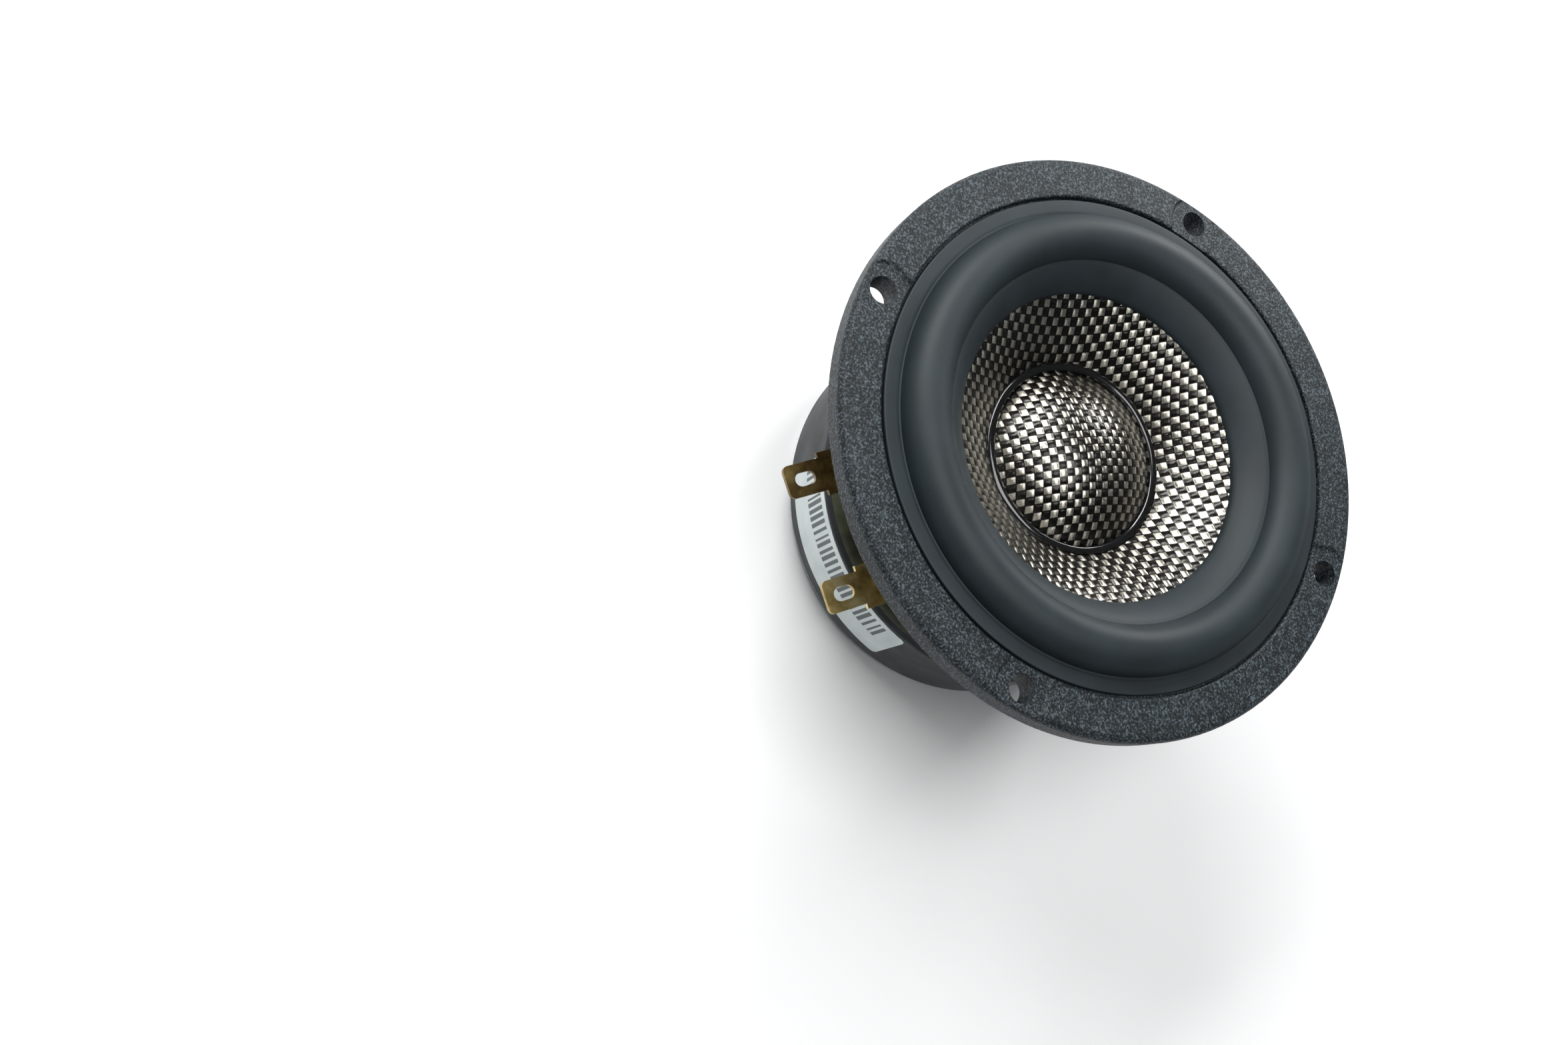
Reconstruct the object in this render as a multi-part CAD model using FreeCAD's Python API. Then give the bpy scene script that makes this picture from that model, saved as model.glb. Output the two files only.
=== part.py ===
import FreeCAD, Part
import math
import os

# Four inch mid-woofer for a car door, standing on its back plate.
# Z is the speaker's axis, pointing out of the front. The origin is the middle of the back plate's underside.
# The spare upright tab of the basket is on the -Y side and the terminals are on the +Y side. Units are mm.

# ---- motor ----
back_plate_radius = 38.0
back_plate_thickness = 4.0
magnet_radius = 40.0
magnet_bore_radius = 17.0
magnet_thickness = 20.0
magnet_chamfer = 1.0
top_plate_radius = 37.0
top_plate_thickness = 4.0
pole_radius = 12.3
plate_edge_chamfer = 0.5
upper_glue_rise = 1.9
upper_glue_spread = 2.3
lower_glue_spread = 1.1
lower_glue_drop = 1.0
upper_glue_bulge_out = 0.62
upper_glue_bulge_up = 0.55
lower_glue_bulge = 0.7

# ---- basket ----
basket_depth = 36.0
flange_radius = 55.0
flange_thickness = 5.5
flange_opening_radius = 47.1
flange_edge_round = 1.4
flange_inner_round = 0.35
flange_rear_round = 0.6
surround_seat_depth = 1.3
neck_radius = 47.5
neck_inner_radius = 42.6
neck_height = 2.1
screw_circle_diameter = 102.2
screw_hole_radius = 2.55
screw_count = 4
screw_pad_radius = 5.0
screw_pad_depth = 0.45
screw_pad_slope = 1.2
screw_pad_mouth_share = 0.8
spoke_width = 4.4
spoke_depth = 5.6
spoke_bend_proud = 6.5
spoke_bend_height = 37.0
spoke_top_overlap = 0.4
spoke_top_inset = 0.3
spoke_foot_proud = 0.5
spoke_ankle_proud = 1.1
spoke_ankle_height = 1.0
spoke_foot_height = 1.5
spoke_knee_inset = 2.5
spoke_knee_height = 0.6
spoke_hip_inset = 0.8
spoke_hip_drop = 1.0
spoke_corner_round = 2.6
spoke_edge_round = 0.7
spoke_angles = [36, 72, 108, 144, 216, 252, 288, 324]
ledge_outer_radius = 38.5
ledge_width = 4.9
ledge_height = 4.1
ledge_below_face = 22.1
ledge_chamfer = 0.5
base_radius = 37.0
base_thickness = 2.4
base_opening_radius = 21.0
base_chamfer = 0.8
wide_strut_width = 6.6
wide_strut_angles = [10.5, -10.5, 169.5, -169.5]
narrow_strut_width = 2.0
narrow_strut_angles = [28, -28, 54, -54, 90, -90, 126, -126, 152, -152]
strut_depth = 3.4
strut_inset = 0.7
strut_top_overlap = 1.0
strut_foot_share = 0.84
tab_top_width = 9.0
tab_foot_width = 11.0
tab_height = 7.6
tab_thickness = 2.0
tab_proud = 0.3
tab_corner_round = 1.4
tab_foot_overlap = 3.1
tab_foot_flare = 1.0
tab_foot_flare_height = 2.0
tab_foot_bow_in = 0.55
tab_foot_bow_up = 0.3
tab_hole_radius = 1.7
tab_hole_height = 4.2

# ---- plate screws, inside the basket ----
plate_screw_circle_radius = 28.5
plate_screw_radius = 2.0
plate_screw_depth = 3.2
plate_screw_head_radius = 3.5
plate_screw_head_height = 1.8
plate_screw_head_round = 0.8
plate_screw_slot_width = 1.4
plate_screw_slot_length = 3.6
plate_screw_slot_depth = 0.9
plate_screw_angles = [45, 135, 225, 315]

# ---- voice coil ----
former_clearance = 0.5
former_wall = 0.3
former_bottom = 19.5
former_above_neck = 0.8
coil_thickness = 0.6
coil_height = 10.0
coil_bottom = 21.0
top_plate_clearance = 0.5

# ---- cone, dust cap and surround, heights measured down from the flange's face ----
cone_thickness = 0.7
cone_slant = 1.35
cone_neck_drop = 19.2
cone_collar_height = 1.6
cone_middle_radius = 22.0
cone_middle_drop = 10.6
cone_edge_radius = 33.0
cone_edge_drop = 2.6
dust_cap_radius = 18.0
dust_cap_rise = 8.4
dust_cap_thickness = 0.5
dust_cap_sink = 0.3
dust_cap_glue_width = 1.1
glue_side_height = 0.75
glue_crest_out = 0.45
glue_crest_height = 0.95
glue_cover_in = 0.45
glue_cover_height = 0.55
surround_gap = 0.5
surround_thickness = 1.0
surround_lip_drop = 0.3
surround_foot_drop = 1.5
surround_lip_lift = 0.8
roll_outer_radius = 43.5
roll_inner_radius = 34.2
roll_rise = 4.3
surround_inner_radius = 29.5
neck_glue_width = 1.3
neck_glue_bulge = 0.8
surround_root_out = 0.55
surround_root_down = 0.9

# ---- spider ----
spider_thickness = 0.5
spider_rim_clearance = 0.3
spider_hub_clearance = 0.4
spider_rim_width = 2.6
spider_rolls = 7
spider_roll_height = 1.1

# ---- terminals, opposite the spare tab ----
board_width = 31.0
board_height = 9.6
board_thickness = 1.6
board_drop = 0.6
board_corner_round = 1.2
terminal_spacing = 22.0
terminal_width = 6.2
terminal_shoulder_width = 8.2
terminal_shoulder_length = 6.6
terminal_length = 14.2
terminal_thickness = 0.8
terminal_lug_height = 2.4
terminal_lug_width = 3.4
terminal_ear_height = 1.2
terminal_bend_round = 0.48
terminal_drop = 1.4
terminal_corner_round = 1.1
terminal_slot_length = 4.2
terminal_slot_width = 2.6
terminal_slot_from_tip = 3.9
rivet_radius = 1.2
rivet_head_radius = 2.1
rivet_head_height = 0.6
rivet_head_round = 0.36
board_rivet_head_radius = 3.0

# ---- leads ----
lead_radius = 0.55
lead_blob_radius = 1.5
lead_standoff = 2.1
lead_from_board = 0.4
lead_height_share = 0.6
lead_end_drop = 0.5
lead_end_y = 3.6
lead_arc_share = 0.45

# ---- label on the magnet's side ----
label_bottom = 8.0
label_height = 14.6
label_thickness = 0.15
label_from_angle = 64.0
label_to_angle = 126.0

# ---- heights worked out from the sizes above ----
magnet_bottom = back_plate_thickness
magnet_top = magnet_bottom + magnet_thickness
plate_top = magnet_top + top_plate_thickness
face = plate_top + basket_depth
flange_bottom = face - flange_thickness
seat = face - surround_seat_depth
neck_bottom = flange_bottom - neck_height
ledge_top = face - ledge_below_face
ledge_bottom = ledge_top - ledge_height
ledge_inner_radius = ledge_outer_radius - ledge_width
tab_face = ledge_outer_radius + tab_proud
spoke_bend_radius = ledge_outer_radius + spoke_bend_proud
base_top = plate_top + base_thickness
former_inner_radius = pole_radius + former_clearance
former_outer_radius = former_inner_radius + former_wall
coil_outer_radius = former_outer_radius + coil_thickness
top_plate_bore_radius = coil_outer_radius + top_plate_clearance
surround_outer_radius = flange_opening_radius - surround_gap
spider_rim_radius = tab_face - tab_thickness - spider_rim_clearance
collar_radius = former_outer_radius + cone_thickness
cone_neck_height = face - cone_neck_drop
collar_bottom = cone_neck_height - cone_collar_height
far = 200.0


def V(x, y, z):
    return FreeCAD.Vector(x, y, z)


def in_rz(point):
    return V(point[0], 0, point[1])


def in_xy(point):
    return V(point[0], point[1], 0)


def in_yz(point):
    return V(0, point[0], point[1])


def outline(start, steps, place=in_rz):
    """A closed face. A step is a point for a straight line, or a (through, end) pair for an arc."""
    here = start
    edges = []
    for step in steps:
        if isinstance(step[0], tuple):
            through, end = step
            edges.append(Part.Arc(place(here), place(through), place(end)).toShape())
        else:
            end = step
            edges.append(Part.makeLine(place(here), place(end)))
        here = end
    if math.dist(here, start) > 1e-6:
        edges.append(Part.makeLine(place(here), place(start)))
    return Part.Face(Part.Wire(edges))


def turned(start, steps):
    """A solid turned round the speaker's axis from an outline of (radius, height) points."""
    return outline(start, steps).revolve(V(0, 0, 0), V(0, 0, 1), 360)


def tube(inner, outer, bottom, height):
    solid = Part.makeCylinder(outer, height, V(0, 0, bottom))
    return solid.cut(Part.makeCylinder(inner, height + 2, V(0, 0, bottom - 1)))


def disc(radius, bottom, height, x=0.0, y=0.0):
    return Part.makeCylinder(radius, height, V(x, y, bottom))


def spun(shape, angle):
    """A copy turned about the speaker's axis; angle 0 is the spare tab's side, which is drawn at -Y."""
    copy = shape.copy()
    copy.rotate(V(0, 0, 0), V(0, 0, 1), angle)
    return copy


def polar(radius, angle):
    return radius * math.cos(math.radians(angle)), radius * math.sin(math.radians(angle))


def quarter(centre, radius, angle):
    """The middle point of a rounded corner's arc."""
    x, y = polar(radius, angle)
    return centre[0] + x, centre[1] + y


def fused(first, others):
    return first.multiFuse(others).removeSplitter()


def save(node, shape):
    assert shape.isValid(), node
    shape.exportStep("parts/%s.step" % node)
    print("%-24s solids %d volume %9.2f mm3" % (node, len(shape.Solids), shape.Volume))


# ---------------------------------------------------------------- motor

def back_plate():
    c = plate_edge_chamfer
    r = back_plate_radius
    t = back_plate_thickness
    return turned((0, 0), [(r - c, 0), (r, c), (r, t - c), (r - c, t), (0, t)])


def pole_piece():
    c = plate_edge_chamfer
    return turned((0, back_plate_thickness), [(pole_radius, back_plate_thickness),
                  (pole_radius, plate_top - c), (pole_radius - c, plate_top), (0, plate_top)])


def ferrite_magnet():
    c = magnet_chamfer
    r = magnet_radius
    return turned((magnet_bore_radius, magnet_bottom), [(r - c, magnet_bottom), (r, magnet_bottom + c),
                  (r, magnet_top - c), (r - c, magnet_top), (magnet_bore_radius, magnet_top)])


def top_plate():
    c = plate_edge_chamfer
    r = top_plate_radius
    plate = turned((top_plate_bore_radius, magnet_top), [(r, magnet_top), (r, plate_top - c),
                   (r - c, plate_top), (top_plate_bore_radius, plate_top)])
    for angle in plate_screw_angles:
        x, y = polar(plate_screw_circle_radius, angle)
        plate = plate.cut(disc(plate_screw_radius, plate_top - plate_screw_depth, far, x, y))
    return plate


def upper_glue():
    """Fillet of adhesive in the corner of the magnet's top and the top plate's edge."""
    r = top_plate_radius
    spread = upper_glue_spread
    rise = upper_glue_rise
    bulge = (r + upper_glue_bulge_out * spread, magnet_top + upper_glue_bulge_up * rise)
    return turned((r, magnet_top), [(r + spread, magnet_top), (bulge, (r, magnet_top + rise))])


def lower_glue():
    """Bead of adhesive under the magnet's edge, round the back plate."""
    r = back_plate_radius
    z = magnet_bottom
    bulge = (r + lower_glue_bulge * lower_glue_spread, z - lower_glue_bulge * lower_glue_drop)
    return turned((r - plate_edge_chamfer, z), [(r + lower_glue_spread, z),
                  (bulge, (r, z - lower_glue_drop)), (r, z - plate_edge_chamfer)])


def plate_screw():
    """One screw on the Z axis, with a round head and a crossed slot."""
    shank_length = plate_screw_depth + base_thickness
    shank = disc(plate_screw_radius, plate_top - plate_screw_depth, shank_length)
    head = disc(plate_screw_head_radius, base_top, plate_screw_head_height)
    rim = [e for e in head.Edges if len(e.Vertexes) == 1 and e.BoundBox.ZMin > base_top]
    screw = shank.fuse(head.makeFillet(plate_screw_head_round, rim))
    slot_floor = base_top + plate_screw_head_height - plate_screw_slot_depth
    corner = V(-plate_screw_slot_length / 2, -plate_screw_slot_width / 2, slot_floor)
    slot = Part.makeBox(plate_screw_slot_length, plate_screw_slot_width, far, corner)
    return screw.cut(slot).cut(spun(slot, 90))


def plate_screws():
    screws = []
    for angle in plate_screw_angles:
        screw = plate_screw()
        screw.translate(V(*polar(plate_screw_circle_radius, angle), 0))
        screws.append(screw)
    return Part.makeCompound(screws)


def magnet_label():
    sheet = tube(magnet_radius, magnet_radius + label_thickness, label_bottom, label_height)
    sweep = label_to_angle - label_from_angle
    sector = Part.makeCylinder(far, far, V(0, 0, 0), V(0, 0, 1), sweep)
    sector.rotate(V(0, 0, 0), V(0, 0, 1), label_from_angle)
    return sheet.common(sector)


# ---------------------------------------------------------------- basket

def flange():
    """Mounting ring, neck below it and the ledge that the surround is glued on."""
    er = flange_edge_round
    ir = flange_inner_round
    outer = (flange_radius - er, face - er)
    inner = (flange_opening_radius + ir, face - ir)
    rr = flange_rear_round
    rear = (flange_radius - rr, flange_bottom + rr)
    return turned((neck_inner_radius, neck_bottom), [
        (neck_radius, neck_bottom),
        (neck_radius, flange_bottom),
        (flange_radius - rr, flange_bottom),
        (quarter(rear, rr, -45), (flange_radius, flange_bottom + rr)),
        (flange_radius, face - er),
        (quarter(outer, er, 45), (flange_radius - er, face)),
        (flange_opening_radius + ir, face),
        (quarter(inner, ir, 135), (flange_opening_radius, face - ir)),
        (flange_opening_radius, seat),
        (neck_inner_radius, seat)])


def screw_pad_cuts():
    """Sunk pads with sloping sides round the four holes, open to the flange's inner edge."""
    cuts = []
    floor = face - screw_pad_depth
    above = 1.0
    spread = screw_pad_slope * (screw_pad_depth + above)
    for n in range(screw_count):
        angle = 45 + 360 * n / screw_count
        x, y = polar(screw_circle_diameter / 2, angle)
        top_radius = screw_pad_radius + spread
        pad = Part.makeCone(screw_pad_radius, top_radius, screw_pad_depth + above, V(x, y, floor))
        half = screw_pad_mouth_share * screw_pad_radius
        mouth = outline((-half, floor), [
            (half, floor),
            (half + spread, face + above),
            (-half - spread, face + above)], in_yz)
        mouth = mouth.extrude(V(-2 * screw_pad_radius, 0, 0))
        mouth.rotate(V(0, 0, 0), V(0, 0, 1), angle)
        mouth.translate(V(x, y, 0))
        cuts.append(pad.fuse(mouth))
        cuts.append(disc(screw_hole_radius, -far, 2 * far, x, y))
    return cuts


def spoke_profile():
    """A spoke seen from its side: from the neck down to the base, and back up past the ledge."""
    top = neck_bottom + spoke_top_overlap
    foot = base_radius + spoke_foot_proud
    return outline((neck_radius - spoke_top_inset, top), [
        (spoke_bend_radius, spoke_bend_height),
        (base_radius + spoke_ankle_proud, plate_top + spoke_ankle_height),
        (foot, plate_top),
        (base_radius - spoke_depth, plate_top),
        (base_radius - spoke_depth, base_top + spoke_foot_height),
        (ledge_outer_radius - spoke_knee_inset, ledge_bottom + spoke_knee_height),
        (ledge_outer_radius - spoke_hip_inset, ledge_top - spoke_hip_drop),
        (neck_radius - spoke_depth, top)])


def spoke_front():
    """A spoke seen from outside: straight, and flared where it meets the neck."""
    half = spoke_width / 2
    flare = spoke_corner_round
    top = neck_bottom + spoke_top_overlap
    right = (half + flare, neck_bottom - flare)
    left = (-half - flare, neck_bottom - flare)
    return outline((-half, 0), [
        (half, 0),
        (half, right[1]),
        (quarter(right, flare, 135), (half + flare, neck_bottom)),
        (half + flare, top),
        (-half - flare, top),
        (-half - flare, neck_bottom),
        (quarter(left, flare, 45), (-half, left[1]))], in_yz)


def spoke():
    """One arm, drawn towards -Y, where its side profile and its front outline cross."""
    reach = spoke_width / 2 + spoke_corner_round
    side = spoke_profile()
    side.translate(V(0, -reach, 0))
    slab = side.extrude(V(0, 2 * reach, 0))
    arm = slab.common(spoke_front().extrude(V(far, 0, 0)))
    outer_edges = []
    for edge in arm.Edges:
        box = edge.BoundBox
        straight = box.YLength < 1e-6
        outside = box.XMin > base_radius and box.ZLength > spoke_edge_round * 2
        if straight and outside:
            outer_edges.append(edge)
    arm = arm.makeFillet(spoke_edge_round, outer_edges)
    arm.rotate(V(0, 0, 0), V(0, 0, 1), -90)
    return arm


def ledge_ring():
    c = ledge_chamfer
    return turned((ledge_inner_radius, ledge_bottom), [
        (ledge_outer_radius - c, ledge_bottom),
        (ledge_outer_radius, ledge_bottom + c),
        (ledge_outer_radius, ledge_top - c),
        (ledge_outer_radius - c, ledge_top),
        (ledge_inner_radius, ledge_top)])


def base_disc():
    return turned((base_opening_radius, plate_top), [
        (base_radius, plate_top),
        (base_radius, base_top - base_chamfer),
        (base_radius - base_chamfer, base_top),
        (base_opening_radius, base_top)])


def strut(width):
    """A short tapered leg between the ledge ring and the base, drawn towards -Y."""
    top_out = ledge_outer_radius - strut_inset
    top = ledge_bottom + strut_top_overlap
    foot_out = base_radius - base_chamfer
    foot = base_top - base_chamfer
    side = outline((top_out, top), [
        (foot_out, foot),
        (foot_out - strut_depth, foot),
        (top_out - strut_depth, top)])
    side.translate(V(0, -width, 0))
    slab = side.extrude(V(0, 2 * width, 0))
    half = width / 2
    foot_half = strut_foot_share * half
    front = outline((-foot_half, plate_top), [
        (foot_half, plate_top),
        (half, ledge_top),
        (-half, ledge_top)], in_yz)
    leg = slab.common(front.extrude(V(far, 0, 0)))
    leg.rotate(V(0, 0, 0), V(0, 0, 1), -90)
    return leg


def upright_tab():
    """The flat tab that stands on the ledge ring, drawn at -Y, with its hole."""
    half_top = tab_top_width / 2
    half_foot = tab_foot_width / 2
    half_waist = half_foot - tab_foot_flare
    waist = ledge_top + tab_foot_flare_height
    top = ledge_top + tab_height
    foot = ledge_top - tab_foot_overlap
    bow = (half_foot - tab_foot_bow_in * tab_foot_flare, ledge_top + tab_foot_bow_up * tab_foot_flare_height)
    r = tab_corner_round
    plate = outline((-half_foot, foot), [
        (half_foot, foot),
        (half_foot, ledge_top),
        (bow, (half_waist, waist)),
        (half_top, top - r),
        (quarter((half_top - r, top - r), r, 45), (half_top - r, top)),
        (-half_top + r, top),
        (quarter((-half_top + r, top - r), r, 135), (-half_top, top - r)),
        (-half_waist, waist),
        ((-bow[0], bow[1]), (-half_foot, ledge_top))],
        lambda p: V(p[0], -tab_face, p[1]))
    tab = plate.extrude(V(0, tab_thickness, 0))
    hole = Part.makeCylinder(tab_hole_radius, far, V(0, -far, ledge_top + tab_hole_height), V(0, 1, 0))
    return tab.cut(hole)


def basket():
    arm = spoke()
    pieces = [spun(arm, angle) for angle in spoke_angles]
    pieces += [spun(strut(wide_strut_width), angle) for angle in wide_strut_angles]
    pieces += [spun(strut(narrow_strut_width), angle) for angle in narrow_strut_angles]
    pieces += [ledge_ring(), base_disc()]
    pieces += [spun(upright_tab(), angle) for angle in (0, 180)]
    body = fused(flange(), pieces)
    for cutter in screw_pad_cuts():
        body = body.cut(cutter)
    for angle in plate_screw_angles:
        x, y = polar(plate_screw_circle_radius, angle)
        body = body.cut(disc(plate_screw_radius, -far, far + ledge_bottom, x, y))
    return body


# ---------------------------------------------------------------- moving system

def cone_line(offset):
    """Neck, middle and edge points of the cone's upper face, lowered by offset along the axis."""
    neck = (collar_radius, cone_neck_height - offset)
    middle = (cone_middle_radius, face - cone_middle_drop - offset)
    edge = (cone_edge_radius, face - cone_edge_drop - offset)
    return neck, middle, edge


def cone_height_at(radius):
    """Height of the cone's upper face at a radius, from the circle through its three points."""
    neck, middle, edge = cone_line(0.0)
    arc = Part.Arc(in_rz(neck), in_rz(middle), in_rz(edge))
    line = Part.makeLine(V(radius, 0, -far), V(radius, 0, far))
    near = arc.toShape().distToShape(line)
    return near[1][0][0].z


def cone():
    drop = cone_thickness * cone_slant
    neck, middle, edge = cone_line(0.0)
    low_neck, low_middle, low_edge = cone_line(drop)
    return turned((former_outer_radius, collar_bottom), [
        (neck[0], collar_bottom),
        low_neck,
        (low_middle, low_edge),
        edge,
        (middle, neck),
        (former_outer_radius, neck[1])])


def under_cone():
    """Everything on and below the cone's upper face, used to trim what is glued on it."""
    neck, middle, edge = cone_line(0.0)
    return turned((0, 0), [(edge[0], 0), edge, (middle, neck), (0, neck[1])])


def dust_cap():
    z = cone_height_at(dust_cap_radius)
    t = dust_cap_thickness
    outer = dome_outline(dust_cap_radius, dust_cap_rise, z - dust_cap_sink)
    inner = dome_outline(dust_cap_radius - t, dust_cap_rise - t, z - dust_cap_sink)
    return outer.cut(inner).cut(under_cone())


def dome_outline(radius, rise, z):
    """A solid cap of a sphere with its rim at height z, and a short straight skirt below the rim."""
    ball = (radius ** 2 + rise ** 2) / (2 * rise)
    half_angle = math.asin(radius / ball) / 2
    through = (ball * math.sin(half_angle), z + rise - ball + ball * math.cos(half_angle))
    return turned((0, z - 3), [(radius, z - 3), (radius, z), (through, (0, z + rise))])


def dust_cap_glue():
    z = cone_height_at(dust_cap_radius)
    w = dust_cap_glue_width
    r = dust_cap_radius
    crest = (r + glue_crest_out * w, z + glue_crest_height * w)
    on_cap = (r - glue_cover_in, z + glue_cover_height * w)
    bead = turned((r - 2, z - 2), [(r + w + 1, z - 2), (r + w, z + glue_side_height * w),
                  (crest, on_cap), (r - 2, z)])
    cap = dome_outline(r, dust_cap_rise, z - dust_cap_sink)
    return bead.cut(under_cone()).cut(cap)


def voice_coil_former():
    top = cone_neck_height + former_above_neck
    return tube(former_inner_radius, former_outer_radius, former_bottom, top - former_bottom)


def voice_coil_winding():
    return tube(former_outer_radius, coil_outer_radius, coil_bottom, coil_height)


def neck_glue():
    """Bead under the cone's collar that ties the former, collar and spider together."""
    spider_top = ledge_top + spider_thickness
    r = former_outer_radius
    w = neck_glue_width
    bulge = (r + neck_glue_bulge * w, (spider_top + collar_bottom) / 2)
    return turned((r, spider_top), [(r + w, spider_top), (bulge, (collar_radius, collar_bottom)),
                  (r, collar_bottom)])


def surround():
    """Rubber half roll with a flat outer lip and an inner lip that lies on the cone's edge."""
    t = surround_thickness
    top = face - surround_lip_drop
    rim = surround_outer_radius
    inner_foot = face - surround_foot_drop
    mid = (roll_outer_radius + roll_inner_radius) / 2
    crest = face + roll_rise
    on_cone = cone_height_at(surround_inner_radius)
    lip_top = on_cone + surround_lip_lift
    edge = cone_line(0.0)[2]
    half_way = (surround_inner_radius + edge[0]) / 2
    return turned((rim, seat), [
        (rim, top),
        (roll_outer_radius, top),
        ((mid, crest), (roll_inner_radius, inner_foot)),
        (surround_inner_radius, lip_top),
        (surround_inner_radius, on_cone),
        ((half_way, cone_height_at(half_way)), edge),
        (roll_inner_radius + surround_root_out * t, inner_foot - surround_root_down * t),
        ((mid, crest - t), (roll_outer_radius - t, seat))])


def spider():
    """Corrugated cloth disc: a flat rim on the basket's ledge ring, rolls, and a collar on the former."""
    t = spider_thickness
    low = ledge_top
    rim_in = spider_rim_radius - spider_rim_width
    hub = former_outer_radius + neck_glue_width + spider_hub_clearance
    pitch = (rim_in - hub) / spider_rolls
    top_steps = []
    under_steps = []
    for n in range(spider_rolls):
        a = rim_in - n * pitch
        b = a - pitch
        rise = spider_roll_height * (1 if n % 2 == 0 else -1)
        top_steps.append((((a + b) / 2, low + t + rise), (b, low + t)))
        under_steps.append((((a + b) / 2, low + rise), (a, low)))
    return turned((spider_rim_radius, low), [
        (spider_rim_radius, low + t),
        (rim_in, low + t)] + top_steps + [
        (former_outer_radius, low + t),
        (former_outer_radius, low),
        (hub, low)] + under_steps[::-1])


# ---------------------------------------------------------------- terminals

board_y = tab_face
board_bottom = ledge_top - board_drop
board_top = board_bottom + board_height
board_face_y = board_y + board_thickness
rivet_height = ledge_top + tab_hole_height
terminal_level = board_bottom - terminal_drop
side_of = {"terminal_positive": -1, "terminal_negative": 1}


def across_y(radius, x, z, from_y, to_y):
    return Part.makeCylinder(radius, to_y - from_y, V(x, from_y, z), V(0, 1, 0))


def terminal_board():
    r = board_corner_round
    low, high, half = board_bottom, board_top, board_width / 2
    plate = outline((-half, low), [
        (half, low),
        (half, high - r),
        (quarter((half - r, high - r), r, 45), (half - r, high)),
        (-half + r, high),
        (quarter((-half + r, high - r), r, 135), (-half, high - r))],
        lambda p: V(p[0], board_y, p[1]))
    board = plate.extrude(V(0, board_thickness, 0))
    board = board.cut(across_y(tab_hole_radius, 0, rivet_height, 0, far))
    for side in side_of.values():
        board = board.cut(across_y(rivet_radius, side * terminal_spacing / 2, rivet_height, 0, far))
    return board


def blade(x):
    """The flat part that takes a push-on connector, wider at its root, without its slot."""
    wide = terminal_shoulder_width / 2
    half = terminal_width / 2
    tip = board_face_y + terminal_length
    shoulder = board_face_y + terminal_shoulder_length
    r = terminal_corner_round
    flat = outline((-wide, board_face_y), [
        (wide, board_face_y),
        (wide, shoulder),
        (half, shoulder),
        (half, tip - r),
        (quarter((half - r, tip - r), r, 45), (half - r, tip)),
        (-half + r, tip),
        (quarter((-half + r, tip - r), r, 135), (-half, tip - r)),
        (-half, shoulder),
        (-wide, shoulder)],
        lambda p: V(p[0] + x, p[1], terminal_level))
    return flat.extrude(V(0, 0, terminal_thickness))


def blade_slot(x):
    """A cutter with round ends, from the floor up past the blade."""
    half = terminal_slot_width / 2
    run = terminal_slot_length / 2 - half
    centre = board_face_y + terminal_length - terminal_slot_from_tip
    slot = outline((x - half, centre - run), [
        ((x, centre - run - half), (x + half, centre - run)),
        (x + half, centre + run),
        ((x, centre + run + half), (x - half, centre + run))], in_xy)
    return slot.extrude(V(0, 0, far))


def leg(x):
    """The upright part against the board, with the lug for the lead on top."""
    wide = terminal_shoulder_width / 2
    lug = terminal_lug_width / 2
    ear = board_top - terminal_ear_height
    lug_top = board_top + terminal_lug_height
    flat = outline((-wide, terminal_level), [
        (wide, terminal_level),
        (wide, ear),
        (lug, board_top),
        (lug, lug_top),
        (-lug, lug_top),
        (-lug, board_top),
        (-wide, ear)],
        lambda p: V(p[0] + x, board_face_y, p[1]))
    return flat.extrude(V(0, terminal_thickness, 0))


def terminal(side):
    """L-shaped brass tab: a leg riveted to the board, and a blade that points outwards."""
    x = side * terminal_spacing / 2
    both = blade(x).cut(blade_slot(x)).fuse(leg(x)).removeSplitter()
    corner = V(x, board_face_y, terminal_level)
    bend = min(both.Edges, key=lambda e: e.CenterOfMass.distanceToPoint(corner))
    both = both.makeFillet(terminal_bend_round, [bend])
    return both.cut(across_y(rivet_radius, x, rivet_height, 0, far))


def rivet(x, radius, head_radius, head_height, from_y, to_y):
    shank = across_y(radius, x, rivet_height, from_y, to_y)
    front = across_y(head_radius, x, rivet_height, to_y, to_y + head_height)
    rim = [e for e in front.Edges if len(e.Vertexes) == 1 and e.BoundBox.YMin > to_y + head_height / 2]
    front = front.makeFillet(rivet_head_round, rim)
    back = across_y(head_radius, x, rivet_height, from_y - head_height, from_y)
    return shank.multiFuse([front, back])


def terminal_rivets():
    outer = board_face_y + terminal_thickness
    return Part.makeCompound([rivet(side * terminal_spacing / 2, rivet_radius, rivet_head_radius,
                                    rivet_head_height, board_y, outer) for side in side_of.values()])


def board_rivet():
    return rivet(0, tab_hole_radius, board_rivet_head_radius, rivet_head_height,
                 board_y - tab_thickness, board_face_y)


# ---------------------------------------------------------------- leads

def lead_points(side):
    """Route of a lead from the solder lug down over the spider to the side of the former."""
    x = side * terminal_spacing / 2
    lug_y = board_face_y - lead_from_board
    lug_z = board_top + lead_height_share * terminal_lug_height
    end_z = cone_neck_height - lead_end_drop
    return [V(x, lug_y, lug_z),
            V(x + side * 0.6, lug_y - 5.5, lug_z + 0.6),
            V(x + side * 4.0, lead_end_y + 23.9, lug_z - 1.6),
            V(x + side * 8.2, lead_end_y + 16.4, end_z + 3.6),
            V(x + side * 9.4, lead_end_y + 8.4, end_z + 2.0),
            V(x + side * 7.6, lead_end_y + 2.8, end_z + 0.7),
            V(side * (former_outer_radius + lead_standoff), lead_end_y, end_z)]


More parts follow.
